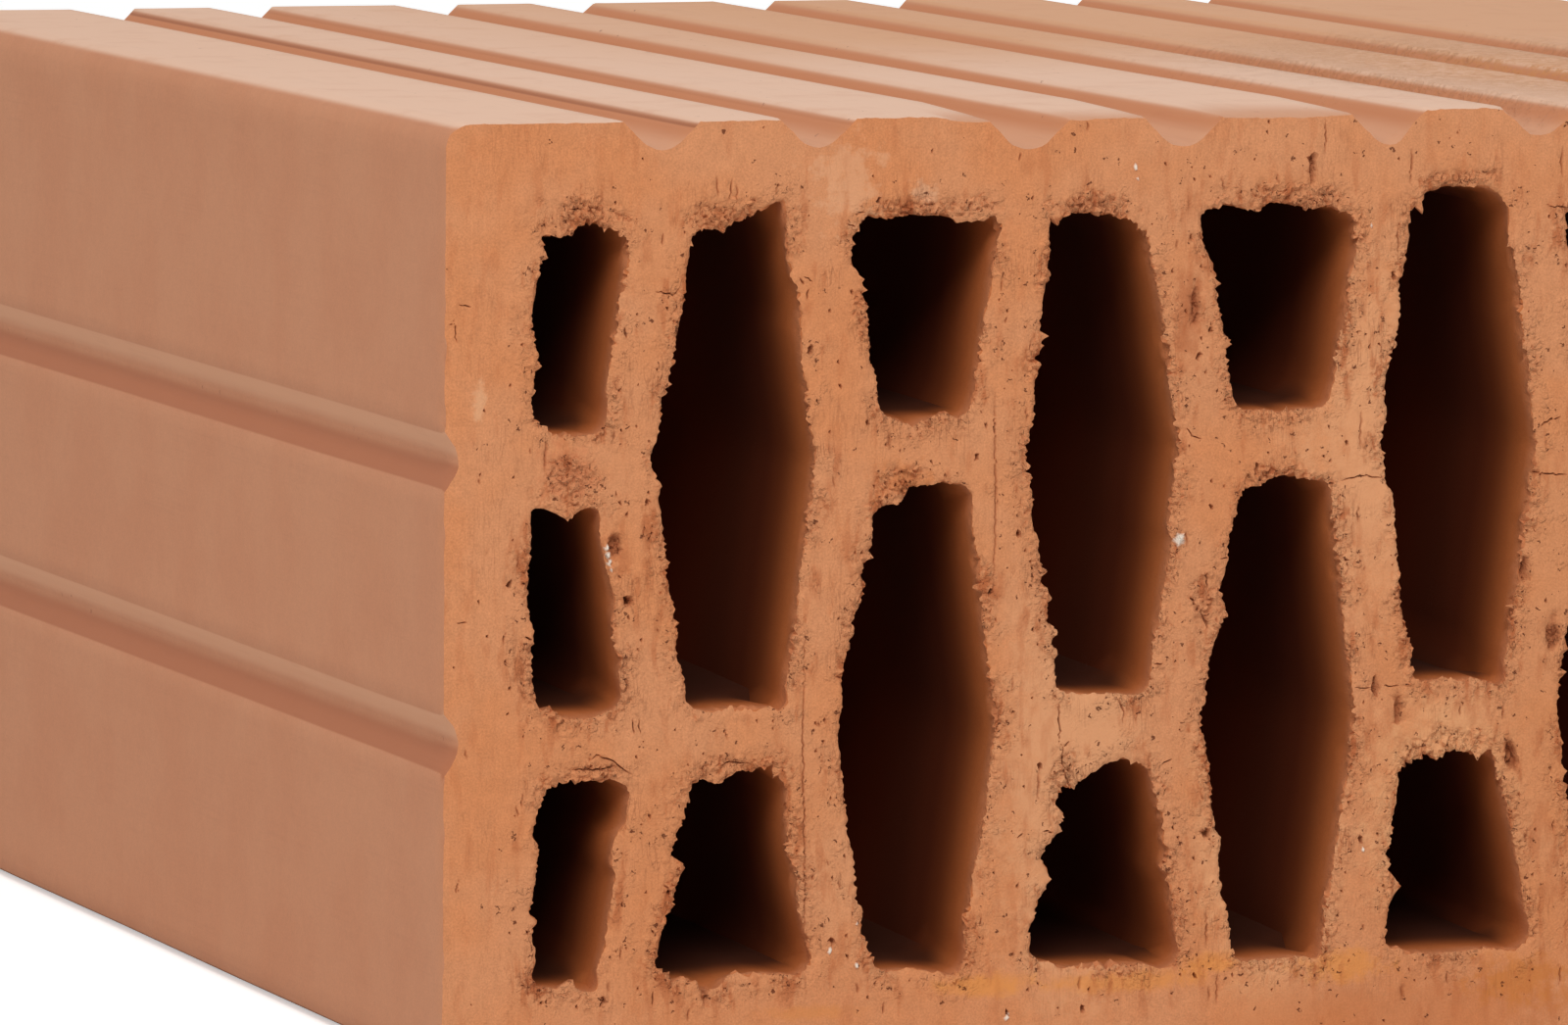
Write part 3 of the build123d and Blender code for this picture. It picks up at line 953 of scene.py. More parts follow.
# %% Ring of the outline
WORN_FROM, WORN_TO = -58.0, 5.0
WORN_BY = 0.75
WORN_DEPTH = 14.0
TOP_BAND = 4.0          # only points this close to the top are worn
EDGE_DEPTH = 0.9        # nicks in the cut edge fade this far behind it


def outline_ring(depth, step, cut):
    """The outline at one depth behind a cut: rows of x, z, way round."""
    ring = even_steps(outline, step)
    ahead_of = np.roll(ring[:, :2], -1, axis=0) - np.roll(ring[:, :2], 1, axis=0)
    normal = np.column_stack([-ahead_of[:, 1], ahead_of[:, 0]])
    normal /= np.hypot(*normal.T)[:, None]
    seed = cut["seed"]
    for k, row in enumerate(ring):
        x, z = row[:2]
        y = cut["y"] + cut["into"] * depth
        inward = 0.10 + 0.10 * wave(x / 2, y / 5, z / 2, 9.0)
        edge = math.exp(-(depth / EDGE_DEPTH) ** 2)
        nick = max(0.0, wave(x, seed, z, 3.1) - 0.15) * 0.9
        inward += edge * (0.1 + 0.6 * nick + 0.12 * (0.6 - crumb(x, seed, z, 1.1)))
        if cut["name"] == "near" and z > brick_high[2] - TOP_BAND:
            span = ease((x - WORN_FROM) / 4) * ease((WORN_TO - x) / 3)
            fade = math.exp(-(depth / WORN_DEPTH) ** 2)
            inward += WORN_BY * span * fade * (0.8 + 0.4 * wave(x, 3.0, 0, 8.0))
        row[:2] += normal[k] * max(0.02, inward)
    return ring


print("outline ring:", len(outline_ring(0.0, 0.8, near_cut)), "points")

# %% [markdown]
# ## Both cuts
# Now both cut faces can be built. The near one is fine, because the photograph looks straight at
# it; the far one is coarser, and all its marks come by chance.

# %% Both cut faces
near_rings = build_cut(near_cut)
far_rings = build_cut(far_cut)

# %% [markdown]
# ## Chamber walls and outside
# Each wall is a stack of rings from the near cut to the far one. Close to a cut the rings are
# tight and fine, because the torn rim fades there; in the middle they are far apart. Every ring
# has its own number of points, and the stitch joins neighbours by how far round they are.

# %% Walls
DEPTH = brick_high[1] - brick_low[1]
SINK_DEPTH = 3.0        # a wall follows the sunken rim this far in
TORN_DEPTH = 2.2        # and is torn clay this far in
# Rings of the chamber walls and of the outside: depth behind a cut, and step along the ring.
CHAMBER_NEAR = [(0.35, 0.36), (0.9, 0.5), (1.8, 0.8), (3.2, 1.2), (5.5, 1.8), (10.0, 2.6)]
CHAMBER_NEAR += [(depth, 3.0) for depth in (14.0, 20.0, 29.0)]
CHAMBER_NEAR += [(depth, 4.0) for depth in (42.0, 80.0, 150.0, 205.0)]
CHAMBER_FAR = [(6.0, 3.0), (2.6, 2.0), (0.9, 1.4)]
SKIN_NEAR = [(0.5, 0.8), (1.3, 1.2), (3.5, 1.6)]
SKIN_NEAR += [(depth, 2.0) for depth in (10.0, 25.0, 50.0, 90.0, 140.0, 190.0, 220.0)]
SKIN_FAR = [(6.0, 2.0), (1.6, 2.0)]


def rim_sink(rim_depths, way):
    """How deep the cut face lies at that point of the rim."""
    return rim_depths[int(way * len(rim_depths)) % len(rim_depths)]


def wall_ring(ring, depth, rim_depths, cut):
    """Adds a ring of wall points at a depth behind a cut, following the sunken rim."""
    numbered = []
    for x, z, way in ring:
        sink = rim_sink(rim_depths, way) * math.exp(-(depth / SINK_DEPTH) ** 2)
        y = cut["y"] + cut["into"] * (depth + sink)
        torn = math.exp(-(depth / TORN_DEPTH) ** 2)
        numbered.append((add_point(x, y, z, torn), way))
    return numbered


def build_wall(make_ring, near, far, finish, near_steps, far_steps):
    """Stitches the near rim to the far rim through rings at the given depths and steps."""
    (near_rim, near_sink), (far_rim, far_sink) = near, far
    stack = [near_rim]
    for steps, sink, cut in ((near_steps, near_sink, near_cut), (far_steps, far_sink, far_cut)):
        for depth, step in steps:
            stack.append(wall_ring(make_ring(depth, step, cut), depth, sink, cut))
    stack.append(far_rim)
    for ring, following in zip(stack, stack[1:]):
        stitch(ring, following, finish)


for loop, near, far in zip(chambers, near_rings[1:], far_rings[1:]):
    build_wall(
        lambda depth, step, cut: moved_ring(loop, step, depth, cut),
        near, far, CHAMBER, CHAMBER_NEAR, CHAMBER_FAR,
    )
build_wall(outline_ring, near_rings[0], far_rings[0], SKIN, SKIN_NEAR, SKIN_FAR)
print("points:", len(points), "triangles:", len(faces))

# %% [markdown]
# ## From lists to an object
# The lists become one Blender mesh. Each kind of surface gets its own material slot, the masks are
# stored as attributes, and the normals are made to point outward. Shading is smooth, but edges
# sharper than 50 degrees stay sharp, so that cracks and creases keep their bite.

# %% Make the brick
SHARP_FROM = math.radians(50)

brick_mesh = bpy.data.meshes.new("clay_brick")
brick_mesh.from_pydata(points, [], faces)
for name, values in masks.items():
    brick_mesh.attributes.new(name, "FLOAT", "POINT").data.foreach_set("value", values)
brick_mesh.polygons.foreach_set("material_index", finishes)

tidy = bmesh.new()
tidy.from_mesh(brick_mesh)
bmesh.ops.recalc_face_normals(tidy, faces=tidy.faces)
open_edges = sum(not edge.is_manifold for edge in tidy.edges)
volume = tidy.calc_volume() / MM ** 3
tidy.to_mesh(brick_mesh)
tidy.free()
brick_mesh.shade_smooth()
brick_mesh.set_sharp_from_angle(angle=SHARP_FROM)

brick = bpy.data.objects.new("clay_brick", brick_mesh)
bpy.context.scene.collection.objects.link(brick)
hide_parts(NODE)
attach(brick, "root")
print("open edges:", open_edges, "faces:", len(brick_mesh.polygons))
print("volume in cm3:", round(volume / 1000, 1))

# %% [markdown]
# ## Small helpers for node trees
# Materials are made of nodes. A few helpers keep the code short: one makes a node and fills in its
# inputs, be they values or links, and a second one turns a colour as the eye sees it into the
# linear values that Blender computes with.

# %% Colours and nodes
def clay(red, green, blue):
    """A colour as a colour picker shows it, 0 to 255, turned into Blender's linear values."""
    def linear(value):
        value = value / 255
        return value / 12.92 if value <= 0.04045 else ((value + 0.055) / 1.055) ** 2.4
    return (linear(red), linear(green), linear(blue), 1.0)


def fill(tree, node, socket, value):
    """Puts a value or a link into a socket, given by name or by number."""
    target = node.inputs[socket]
    if isinstance(value, bpy.types.NodeSocket):
        tree.links.new(value, target)
    else:
        target.default_value = value


def add_node(tree, kind, settings=None, **inputs):
    """A node with its settings; inputs are values, or sockets to link from, by socket name."""
    node = tree.nodes.new(kind)
    for name, value in (settings or {}).items():
        setattr(node, name, value)
    for name, value in inputs.items():
        fill(tree, node, name.replace("_", " "), value)
    return node


print("fired clay in linear values:", [round(v, 3) for v in clay(205, 138, 98)])

# %% [markdown]
# ## Sums with sockets
# A mask is a value from 0 to 1 that says where something lies. Math nodes work masks out: a smooth
# step turns a height, a depth or a noise into one, and masks that are multiplied give the places
# where all of them hold. Each helper here makes one such node and gives back its result, so that
# a material can be read like a sum.

# %% Maths on sockets
def math_node(tree, operation, *values):
    """A Math node and its result."""
    node = add_node(tree, "ShaderNodeMath", {"operation": operation})
    for k, value in enumerate(values):
        fill(tree, node, k, value)
    return node.outputs[0]


def times(tree, first, *others):
    """All the values multiplied."""
    for value in others:
        first = math_node(tree, "MULTIPLY", first, value)
    return first


def vector_node(tree, operation, *values):
    """A Vector Math node; its result is the first output, or the second for a length."""
    node = add_node(tree, "ShaderNodeVectorMath", {"operation": operation})
    for k, value in enumerate(values):
        fill(tree, node, k, value)
    return node.outputs["Value" if operation == "LENGTH" else "Vector"]


def scaled(tree, vector, factors):
    """A vector or a colour multiplied entry by entry."""
    return vector_node(tree, "MULTIPLY", vector, factors)


def part_of(tree, vector, axis):
    """The X, Y or Z of a vector."""
    return add_node(tree, "ShaderNodeSeparateXYZ", Vector=vector).outputs[axis]


def grey(tree, value):
    """A vector with the same value three times, which scales a colour without tinting it."""
    return add_node(tree, "ShaderNodeCombineXYZ", X=value, Y=value, Z=value).outputs[0]


def step_node(tree, value, low, high, low_out=0.0, high_out=1.0):
    """A smooth Map Range from low to high."""
    node = add_node(tree, "ShaderNodeMapRange", {"interpolation_type": "SMOOTHSTEP"})
    for k, entry in enumerate((value, low, high, low_out, high_out)):
        fill(tree, node, k, entry)
    return node.outputs[0]


print("helpers for sums:", [f.__name__ for f in (math_node, times, vector_node, step_node)])

# %% [markdown]
# ## Noise, tints and groups
# Noise is what makes clay look grown and not painted. Tinting lays a colour over another wherever
# the masks allow it, like one thin glaze after the next. A node group works like a function: it
# is written once, with named sockets, and each material then places it with its own values.

# %% Noise, tints and groups
def noise_node(tree, place, scale, detail=2.0, roughness=0.5):
    """A Noise texture's value, about 0.5 on average."""
    node = add_node(
        tree, "ShaderNodeTexNoise", Vector=place, Scale=scale, Detail=detail, Roughness=roughness
    )
    return node.outputs["Fac"]


def bent(tree, place, scale, reach):
    """The place, moved about by noise, so that a pattern laid there has no straight edge."""
    node = add_node(tree, "ShaderNodeTexNoise", Vector=place, Scale=scale, Detail=2.0)
    return vector_node(tree, "MULTIPLY_ADD", node.outputs["Color"], (reach, reach, reach), place)


def mix_colour(tree, share, first, second):
    """A Mix node for colours."""
    node = add_node(tree, "ShaderNodeMix", {"data_type": "RGBA"})
    for socket, value in ((0, share), (6, first), (7, second)):
        fill(tree, node, socket, value)
    return node.outputs[2]


def tinted(tree, colour, tint, *masks):
    """The colour, with a tint over it where the product of the masks says so."""
    return mix_colour(tree, times(tree, *masks), colour, tint)


def new_group(name, inputs, outputs):
    """A shader node group with named sockets; returns its tree and its two end nodes."""
    tree = bpy.data.node_groups.new(name, "ShaderNodeTree")
    for socket, kind, value in inputs:
        made = tree.interface.new_socket(socket, in_out="INPUT", socket_type="NodeSocket" + kind)
        if value is not None:
            made.default_value = value
    for socket, kind in outputs:
        tree.interface.new_socket(socket, in_out="OUTPUT", socket_type="NodeSocket" + kind)
    return tree, tree.nodes.new("NodeGroupInput").outputs, tree.nodes.new("NodeGroupOutput")


def place_group(tree, group, **inputs):
    """Places a node group in a material and returns its outputs."""
    return add_node(tree, "ShaderNodeGroup", {"node_tree": group}, **inputs).outputs


print("helpers for colour:", [f.__name__ for f in (noise_node, bent, mix_colour, tinted)])

# %% [markdown]
# ## Clay body
# Fired clay is a mix: fine sand, flour-fine clay and iron that burns red. Up close it shows light
# and dark grains under half a millimetre, and from further away soft patches of redder and paler
# clay. A picture could be laid on it, but noise is endless and has no seams. The group takes a
# place in millimetres and a base colour, and gives back a colour and a height for the bump.

# %% Group: clay body
def make_clay_body():
    tree, given, result = new_group(
        "clay body",
        [
            ("Place", "Vector", None),
            ("Colour", "Color", clay(196, 132, 91)),
            ("Warm colour", "Color", clay(196, 122, 76)),
            ("Grain", "Float", 0.5),
            ("Patches", "Float", 0.5),
        ],
        [("Colour", "Color"), ("Height", "Float")],
    )
    place = given["Place"]
    fine = noise_node(tree, place, 3.8, 2.0, 0.7)
    middling = noise_node(tree, place, 0.6, 2.0, 0.6)
    broad = step_node(tree, noise_node(tree, place, 0.05, 3.0, 0.6), 0.38, 0.64)
    base = tinted(tree, given["Colour"], given["Warm colour"], broad, given["Patches"])
    swing = times(tree, math_node(tree, "SUBTRACT", fine, 0.5), 1.3)
    swing = math_node(tree, "MULTIPLY_ADD", math_node(tree, "SUBTRACT", middling, 0.5), 0.5, swing)
    level = math_node(tree, "MULTIPLY_ADD", swing, given["Grain"], 1.0)
    fill(tree, result, "Colour", scaled(tree, base, grey(tree, level)))
    fill(tree, result, "Height", math_node(tree, "MULTIPLY_ADD", middling, 0.5, fine))
    return tree


clay_body = make_clay_body()
print("group made:", clay_body.name)

# %% [markdown]
# ## Crumbs too small for the mesh
# Round the chambers the broken clay goes on in crumbs that are finer than the mesh. The group
# repeats in nodes what the crumb function did for the points: a Voronoi pattern, bent by noise,
# with a height of its own for every cell and thin creases where two cells meet. The material lays
# it only where the mesh says that the clay is torn.

# %% Group: crumbs
def make_crumbs():
    tree, given, result = new_group(
        "crumbs",
        [("Place", "Vector", None), ("Cells per mm", "Float", 1.2)],
        [("Height", "Float"), ("Creases", "Float")],
    )
    size = given["Cells per mm"]
    place = bent(tree, given["Place"], 1.4, 1.1)
    cells = add_node(tree, "ShaderNodeTexVoronoi", Vector=place, Scale=size)
    level = add_node(tree, "ShaderNodeSeparateColor", Color=cells.outputs["Color"]).outputs[0]
    level = math_node(tree, "MULTIPLY_ADD", level, 0.65, 0.35)
    edges = add_node(
        tree, "ShaderNodeTexVoronoi", {"feature": "DISTANCE_TO_EDGE"}, Vector=place, Scale=size
    ).outputs["Distance"]
    fill(tree, result, "Height", times(tree, step_node(tree, edges, 0.0, 0.45), level))
    fill(tree, result, "Creases", step_node(tree, edges, 0.01, 0.06, 1.0, 0.0))
    return tree


crumbs = make_crumbs()
print("group made:", crumbs.name)

# %% [markdown]
# ## Drag lines
# Wire and die both draw lines: upright ones on the cut, lengthwise ones on the skin. They are
# noise that is squeezed in one direction and stretched in the other. Only the strongest of them
# show as lines, so the group gives both a soft height and a thin mask.

# %% Group: drag lines
def make_drag_lines():
    tree, given, result = new_group(
        "drag lines",
        [("Place", "Vector", None), ("Stretch", "Vector", (1.0, 1.0, 1.0)), ("Share", "Float", 0.5)],
        [("Height", "Float"), ("Lines", "Float")],
    )
    place = scaled(tree, given["Place"], given["Stretch"])
    sharp = noise_node(tree, scaled(tree, place, (1.3, 1.3, 2.5)), 1.0, 1.0, 0.5)
    line = math_node(tree, "ABSOLUTE", math_node(tree, "SUBTRACT", sharp, 0.5))
    line = step_node(tree, line, 0.0, 0.05, 1.0, 0.0)
    where = step_node(tree, noise_node(tree, given["Place"], 0.11), 0.5, 0.62)
    fill(tree, result, "Height", noise_node(tree, place, 1.0, 2.0, 0.55))
    fill(tree, result, "Lines", times(tree, line, where, given["Share"]))
    return tree


drag_lines = make_drag_lines()
print("group made:", drag_lines.name)

# %% [markdown]
# ## Pinholes
# Between the larger pits, which are real geometry, the clay is full of pinholes too small for any
# mesh. Each cell of a Voronoi pattern gets a random colour; only cells below a threshold hold a
# hole, so the holes come irregularly. The place is bent by noise first, which draws the round
# dots out into commas.

# %% Group: pinholes
def make_pinholes():
    tree, given, result = new_group(
        "pinholes",
        [
            ("Place", "Vector", None),
            ("Cells per mm", "Float", 0.8),
            ("Radius", "Float", 0.16),
            ("Share", "Float", 0.3),
        ],
        [("Mask", "Float")],
    )
    place = bent(tree, given["Place"], 2.0, 1.6)
    cells = add_node(tree, "ShaderNodeTexVoronoi", Vector=place, Scale=given["Cells per mm"])
    chance = add_node(tree, "ShaderNodeSeparateColor", Color=cells.outputs["Color"]).outputs[0]
    chosen = math_node(tree, "LESS_THAN", chance, given["Share"])
    inner = times(tree, given["Radius"], 0.5)
    hole = step_node(tree, cells.outputs["Distance"], inner, given["Radius"], 1.0, 0.0)
    fill(tree, result, "Mask", times(tree, hole, chosen))
    return tree


pinholes = make_pinholes()
print("group made:", pinholes.name)

# %% [markdown]
# ## Smears
# Dust and fine slip were wiped over the clay in a few places, and in others the body itself is
# paler or redder. One group serves for all of them: a soft ellipse, its edge made ragged by a
# noise that the material hands in. It gives only the mask, and the colour is up to the material.

# %% Group: smear
def make_smear():
    tree, given, result = new_group(
        "smear",
        [
            ("Place", "Vector", None),
            ("Middle", "Vector", (0.0, 0.0, 0.0)),
            ("Reach", "Vector", (10.0, 10.0, 10.0)),
            ("Noise", "Float", 0.5),
            ("Raggedness", "Float", 0.5),
        ],
        [("Mask", "Float")],
    )
    offset = vector_node(tree, "SUBTRACT", given["Place"], given["Middle"])
    length = vector_node(tree, "LENGTH", vector_node(tree, "DIVIDE", offset, given["Reach"]))
    ragged = times(tree, math_node(tree, "SUBTRACT", given["Noise"], 0.5), given["Raggedness"])
    edge = math_node(tree, "MULTIPLY_ADD", ragged, 3.0, length)
    fill(tree, result, "Mask", step_node(tree, edge, 0.25, 1.0, 1.0, 0.0))
    return tree


smear = make_smear()
print("group made:", smear.name)

# %% [markdown]
# ## Three finishes of one clay
# The brick has three kinds of surface: the raw cut, the skin that the die pressed smooth, and the
# walls of the chambers. All are the same clay, so they share the groups and differ in values. A
# Principled BSDF sits in each material, rough and with very little gloss. Every pattern is laid by
# the place on the brick in millimetres, so a pinhole has the same size everywhere.

# %% Start of a material
def start_material(name, roughness, specular):
    """A material with a Principled BSDF, and the place on the brick in millimetres."""
    material = bpy.data.materials.new(name)
    material.use_nodes = True
    tree = material.node_tree
    tree.nodes.clear()
    shader = add_node(tree, "ShaderNodeBsdfPrincipled", Roughness=roughness)
    shader.inputs["Specular IOR Level"].default_value = specular
    add_node(tree, "ShaderNodeOutputMaterial", Surface=shader.outputs[0])
    where = tree.nodes.new("ShaderNodeTexCoord")
    place = scaled(tree, where.outputs["Object"], (1 / MM, 1 / MM, 1 / MM))
    return material, tree, shader, place


def mask_of(tree, name):
    """A mask that was stored on the mesh."""
    return add_node(tree, "ShaderNodeAttribute", {"attribute_name": name}).outputs["Fac"]


def bump(tree, shader, height):
    """Turns a height in millimetres into a tilted normal."""
    node = add_node(tree, "ShaderNodeBump", Strength=1.0, Distance=MM, Height=height)
    tree.links.new(node.outputs[0], shader.inputs["Normal"])


print("masks that a material can read:", sorted(masks))

# %% [markdown]
# ## Patches and smears on the cut
# The cut of the real brick is not one colour. Broad patches of it are paler, the clay gets redder
# towards the bottom and the right, pale dust lies below the top edge, and yellow slip was wiped
# along the lower shell. All of that is a list of smears at the places where the photograph shows
# them. Painting them on would need a picture, and a list is easier to change.

# %% Smears on the cut
CUT_AT = -119.0
SMEAR_DEPTH = 20.0
# Each smear: x and z of its middle, its reach along x and z, raggedness, strength, colour.
CUT_SMEARS = [
    # Pale patches.
    (4.0, 76.0, 20.0, 30.0, 0.4, 0.9, (214, 150, 106)),
    (-39.0, 32.0, 13.0, 40.0, 0.4, 0.9, (212, 150, 107)),
    (-13.0, 28.0, 12.0, 32.0, 0.4, 0.9, (221, 160, 114)),
    (10.0, 28.0, 13.0, 19.0, 0.4, 0.9, (220, 159, 112)),
    (-62.0, 25.0, 14.0, 20.0, 0.4, 0.4, (212, 150, 107)),
    # Redder clay along the bottom, and where a grain was dragged out.
    (6.0, 2.5, 34.0, 8.0, 0.4, 0.5, (184, 108, 62)),
    (-24.6, 91.0, 2.6, 9.0, 0.8, 0.6, (170, 96, 58)),
    # Pale dust under the top edge and at the left.
    (-69.0, 108.2, 5.4, 6.4, 1.3, 0.5, (216, 160, 121)),
    (-59.5, 105.6, 2.4, 1.8, 1.3, 0.5, (218, 168, 132)),
    (-115.5, 81.5, 1.2, 3.2, 0.8, 0.35, (226, 180, 140)),
    # Redder clay in two wide scoops.
    (-104.0, 72.6, 5.2, 4.4, 1.0, 0.45, (196, 118, 78)),
    (-61.5, 70.8, 4.6, 3.0, 1.0, 0.5, (196, 116, 64)),
    # Yellow slip along the lower shell.
    (-73.0, 6.2, 8.0, 1.4, 0.5, 0.6, (204, 130, 72)),
    (-50.0, 8.8, 8.5, 2.0, 0.5, 0.75, (216, 140, 72)),
    (-31.0, 8.4, 15.0, 1.7, 0.6, 0.7, (213, 137, 72)),
    (-20.5, 10.2, 5.4, 2.0, 0.5, 0.75, (216, 138, 70)),
    (-3.0, 9.2, 7.5, 2.8, 0.6, 0.7, (214, 138, 70)),
    # A brown stain at the right edge of the picture, and a warmer tone above it.
    (21.0, 6.5, 9.0, 4.2, 0.7, 0.8, (192, 116, 56)),
    (24.0, 40.0, 12.0, 60.0, 0.4, 0.2, (198, 126, 76)),
]


def smeared(tree, colour, place):
    """The colour with every smear of the list over it; one noise makes all their edges ragged."""
    ragged = noise_node(tree, place, 0.5, 4.0, 0.65)
    for x, z, reach_x, reach_z, raggedness, strength, tint in CUT_SMEARS:
        spot = place_group(
            tree, smear, Place=place, Middle=(x, CUT_AT, z), Reach=(reach_x, SMEAR_DEPTH, reach_z),
            Noise=ragged, Raggedness=raggedness,
        )
        colour = tinted(tree, colour, clay(*tint), spot[0], strength)
    return colour


print("smears on the cut:", len(CUT_SMEARS))

# %% [markdown]
# ## Cut clay
# The raw cut shows the body of the clay. Where it is torn it is a little warmer and lighter, with
# crumbs and pinholes, and painted shade inside the pinholes and in the creases between the crumbs;
# drag lines and long soft stains run upright, the way the wire went. The masks of the mesh put
# painted shade, a little redder than the clay, into cracks, pits, scratches and gouges, and make
# the grains of lime white. Pinholes grow in number to the right, as they do on the real brick.

# %% Cut clay
def make_cut_clay():
    material, tree, shader, place = start_material("cut_clay", 0.92, 0.25)
    torn, hollow, lime = [mask_of(tree, name) for name in ("torn", "hollow", "lime")]
    body = place_group(
        tree, clay_body, Place=place, Grain=0.5, Patches=0.7,
        Colour=clay(201, 135, 93), Warm_colour=clay(200, 126, 79),
    )
    lines = place_group(tree, drag_lines, Place=place, Stretch=(1.3, 1.0, 0.08), Share=0.9)
    broken = place_group(tree, crumbs, Place=place, Cells_per_mm=1.1)
    to_right = step_node(tree, part_of(tree, place, "X"), -80.0, 0.0, 0.01, 0.1)
    share = math_node(tree, "MULTIPLY_ADD", torn, 0.5, to_right)
    holes = place_group(tree, pinholes, Place=place, Cells_per_mm=1.0, Radius=0.26, Share=share)[0]

    stripes = math_node(tree, "MULTIPLY_ADD", lines["Height"], 0.1, 0.95)
    colour = scaled(tree, body["Colour"], grey(tree, stripes))
    colour = tinted(tree, colour, clay(212, 140, 96), torn, 0.35)
    colour = smeared(tree, colour, place)

    upright = scaled(tree, place, (0.55, 1.0, 0.16))
    stains = step_node(tree, noise_node(tree, upright, 1.0, 3.0, 0.6), 0.52, 0.68)
    where = math_node(tree, "MULTIPLY_ADD", torn, 0.7, 0.2)
    colour = tinted(tree, colour, clay(168, 88, 47), stains, where)

    dark = clay(100, 45, 21)
    where = math_node(tree, "MULTIPLY_ADD", torn, 0.9, 0.3)
    gaps = step_node(tree, noise_node(tree, place, 0.9), 0.6, 0.68)
    colour = tinted(tree, colour, dark, lines["Lines"], where, 0.5)
    # painted shade inside the pinholes, and in the creases between the crumbs of torn clay
    colour = tinted(tree, colour, dark, holes, 0.9)
    colour = tinted(tree, colour, dark, broken["Creases"], gaps, torn, 0.95)
    # painted shade in cracks, pits, scratches and gouges, a little redder than the clay
    colour = tinted(tree, colour, clay(128, 58, 26), hollow, 0.9)
    colour = tinted(tree, colour, clay(232, 218, 202), lime)
    tree.links.new(colour, shader.inputs["Base Color"])

    rough = math_node(tree, "MULTIPLY_ADD", body["Height"], 0.4, broken["Height"])
    height = times(tree, rough, torn, 0.36)
    for part, millimetres in ((body["Height"], 0.045), (lines["Height"], 0.05), (holes, -0.12)):
        height = math_node(tree, "MULTIPLY_ADD", part, millimetres, height)
    bump(tree, shader, height)
    return material


cut_clay = make_cut_clay()
print("material made:", cut_clay.name)

# %% [markdown]
# ## Film and painted light on the upper face
# The plateaus of the upper face are made paler: partly by a film of fine clay, partly by painted
# light for the light from above that falls on them. The pale tint is strongest at the left and near
# the cut, and thins out to bare clay towards the back, where the brick was rubbed. The height above
# the floor tells the plateaus from the grooves between them.

# %% Film and painted light on the upper face
PLATEAU = (114.1, 114.75)       # the film sets in between these heights


def with_film_and_painted_light(tree, colour, place):
    """The colour with the film and its painted light over it, and the mask of the plateaus."""
    along, across, level = [part_of(tree, place, axis) for axis in "XYZ"]
    to_back = step_node(tree, across, -60.0, 35.0)
    bare = times(tree, to_back, step_node(tree, along, -80.0, 0.0, 0.1, 1.0))
    # the pale film is partly painted light from above on the plateaus
    film = mix_colour(tree, bare, clay(226, 185, 159), clay(211, 157, 118))
    film = tinted(tree, film, clay(216, 161, 122), step_node(tree, along, 10.0, 40.0, 0.0, 0.5))
    plateau = step_node(tree, level, *PLATEAU)
    thin = step_node(tree, noise_node(tree, place, 0.12, 3.0, 0.6), 0.25, 0.5, 0.8, 1.0)
    return tinted(tree, colour, film, plateau, thin), plateau


print("film between", *PLATEAU, "mm above the floor")

# %% [markdown]
# ## Tints, painted shade and painted light in the grooves
# In a groove the clay keeps what the die gave it. In the end grooves the flank that looks up gets
# painted shade and the flank that looks down gets painted light, the other way round from what the
# lamp alone would give. In the plaster grooves the right flank gets painted shade, with a thin
# painted shadow under its lip at the left of the brick. The normal of the surface, which belongs to
# the brick and not to the camera, tells the flanks apart.

# %% Tints, painted shade and painted light in the grooves
def with_grooves(tree, colour, place, plateau):
    """The colour with the tints, painted shade and painted light of all the grooves over it."""
    along, level = [part_of(tree, place, axis) for axis in "XZ"]
    normal = tree.nodes.new("ShaderNodeNewGeometry").outputs["Normal"]
    to_right, upward = part_of(tree, normal, "X"), part_of(tree, normal, "Z")
    from_middle = math_node(tree, "ABSOLUTE", along)

    in_end = times(
        tree, step_node(tree, from_middle, 119.65, 119.85, 1.0, 0.0),
        step_node(tree, level, 12.0, 16.0), step_node(tree, level, 100.0, 104.0, 1.0, 0.0),
    )
    # painted shade on the end-groove flank that looks up, painted light on the one that looks down
    painted_shade_looking_up = step_node(tree, upward, -0.05, 0.25, 0.0, 0.85)
    painted_light_looking_down = step_node(tree, upward, -0.4, -0.05, 0.85, 0.0)
    colour = tinted(tree, colour, clay(170, 102, 68), in_end, painted_shade_looking_up)
    colour = tinted(tree, colour, clay(216, 160, 124), in_end, painted_light_looking_down)

    in_top = math_node(tree, "SUBTRACT", step_node(tree, level, 109.5, 110.5), plateau)
    in_top = times(tree, in_top, step_node(tree, from_middle, 115.0, 117.0, 1.0, 0.0))
    # painted shade on the right flank of the plaster grooves
    right_flank = times(tree, in_top, step_node(tree, to_right, -0.6, -0.2, 1.0, 0.0))
    shade = step_node(tree, level, 111.8, 113.6)
    # painted shadow: a thin dark line under the lip, at the left of the brick
    lip = times(
        tree, step_node(tree, level, 113.9, 114.1), step_node(tree, along, -88.0, -60.0, 0.7, 0.0)
    )
    colour = tinted(tree, colour, clay(208, 151, 116), in_top, 0.85)
    colour = tinted(tree, colour, clay(192, 122, 80), right_flank, shade, 0.85)
    return tinted(tree, colour, clay(140, 78, 46), right_flank, lip)


print("groove tints ready")

# %% [markdown]
# ## Skin
# The outside was pressed smooth by the die and is a little pinker than the cut, with faint lines
# along the way it was pushed and few pinholes, with painted shade inside them. On it come the film
# with its painted light, the tints, painted shade and painted light of the grooves, and one rubbed
# place at the back right of the upper face, where the film is gone and crumbs of raw clay show.
# There the surface is rough too, so the same mask also goes into the bump.

# %% Skin
RUBBED_MIDDLE = (50.0, -50.0, 115.0)
RUBBED_REACH = (40.0, 80.0, 20.0)


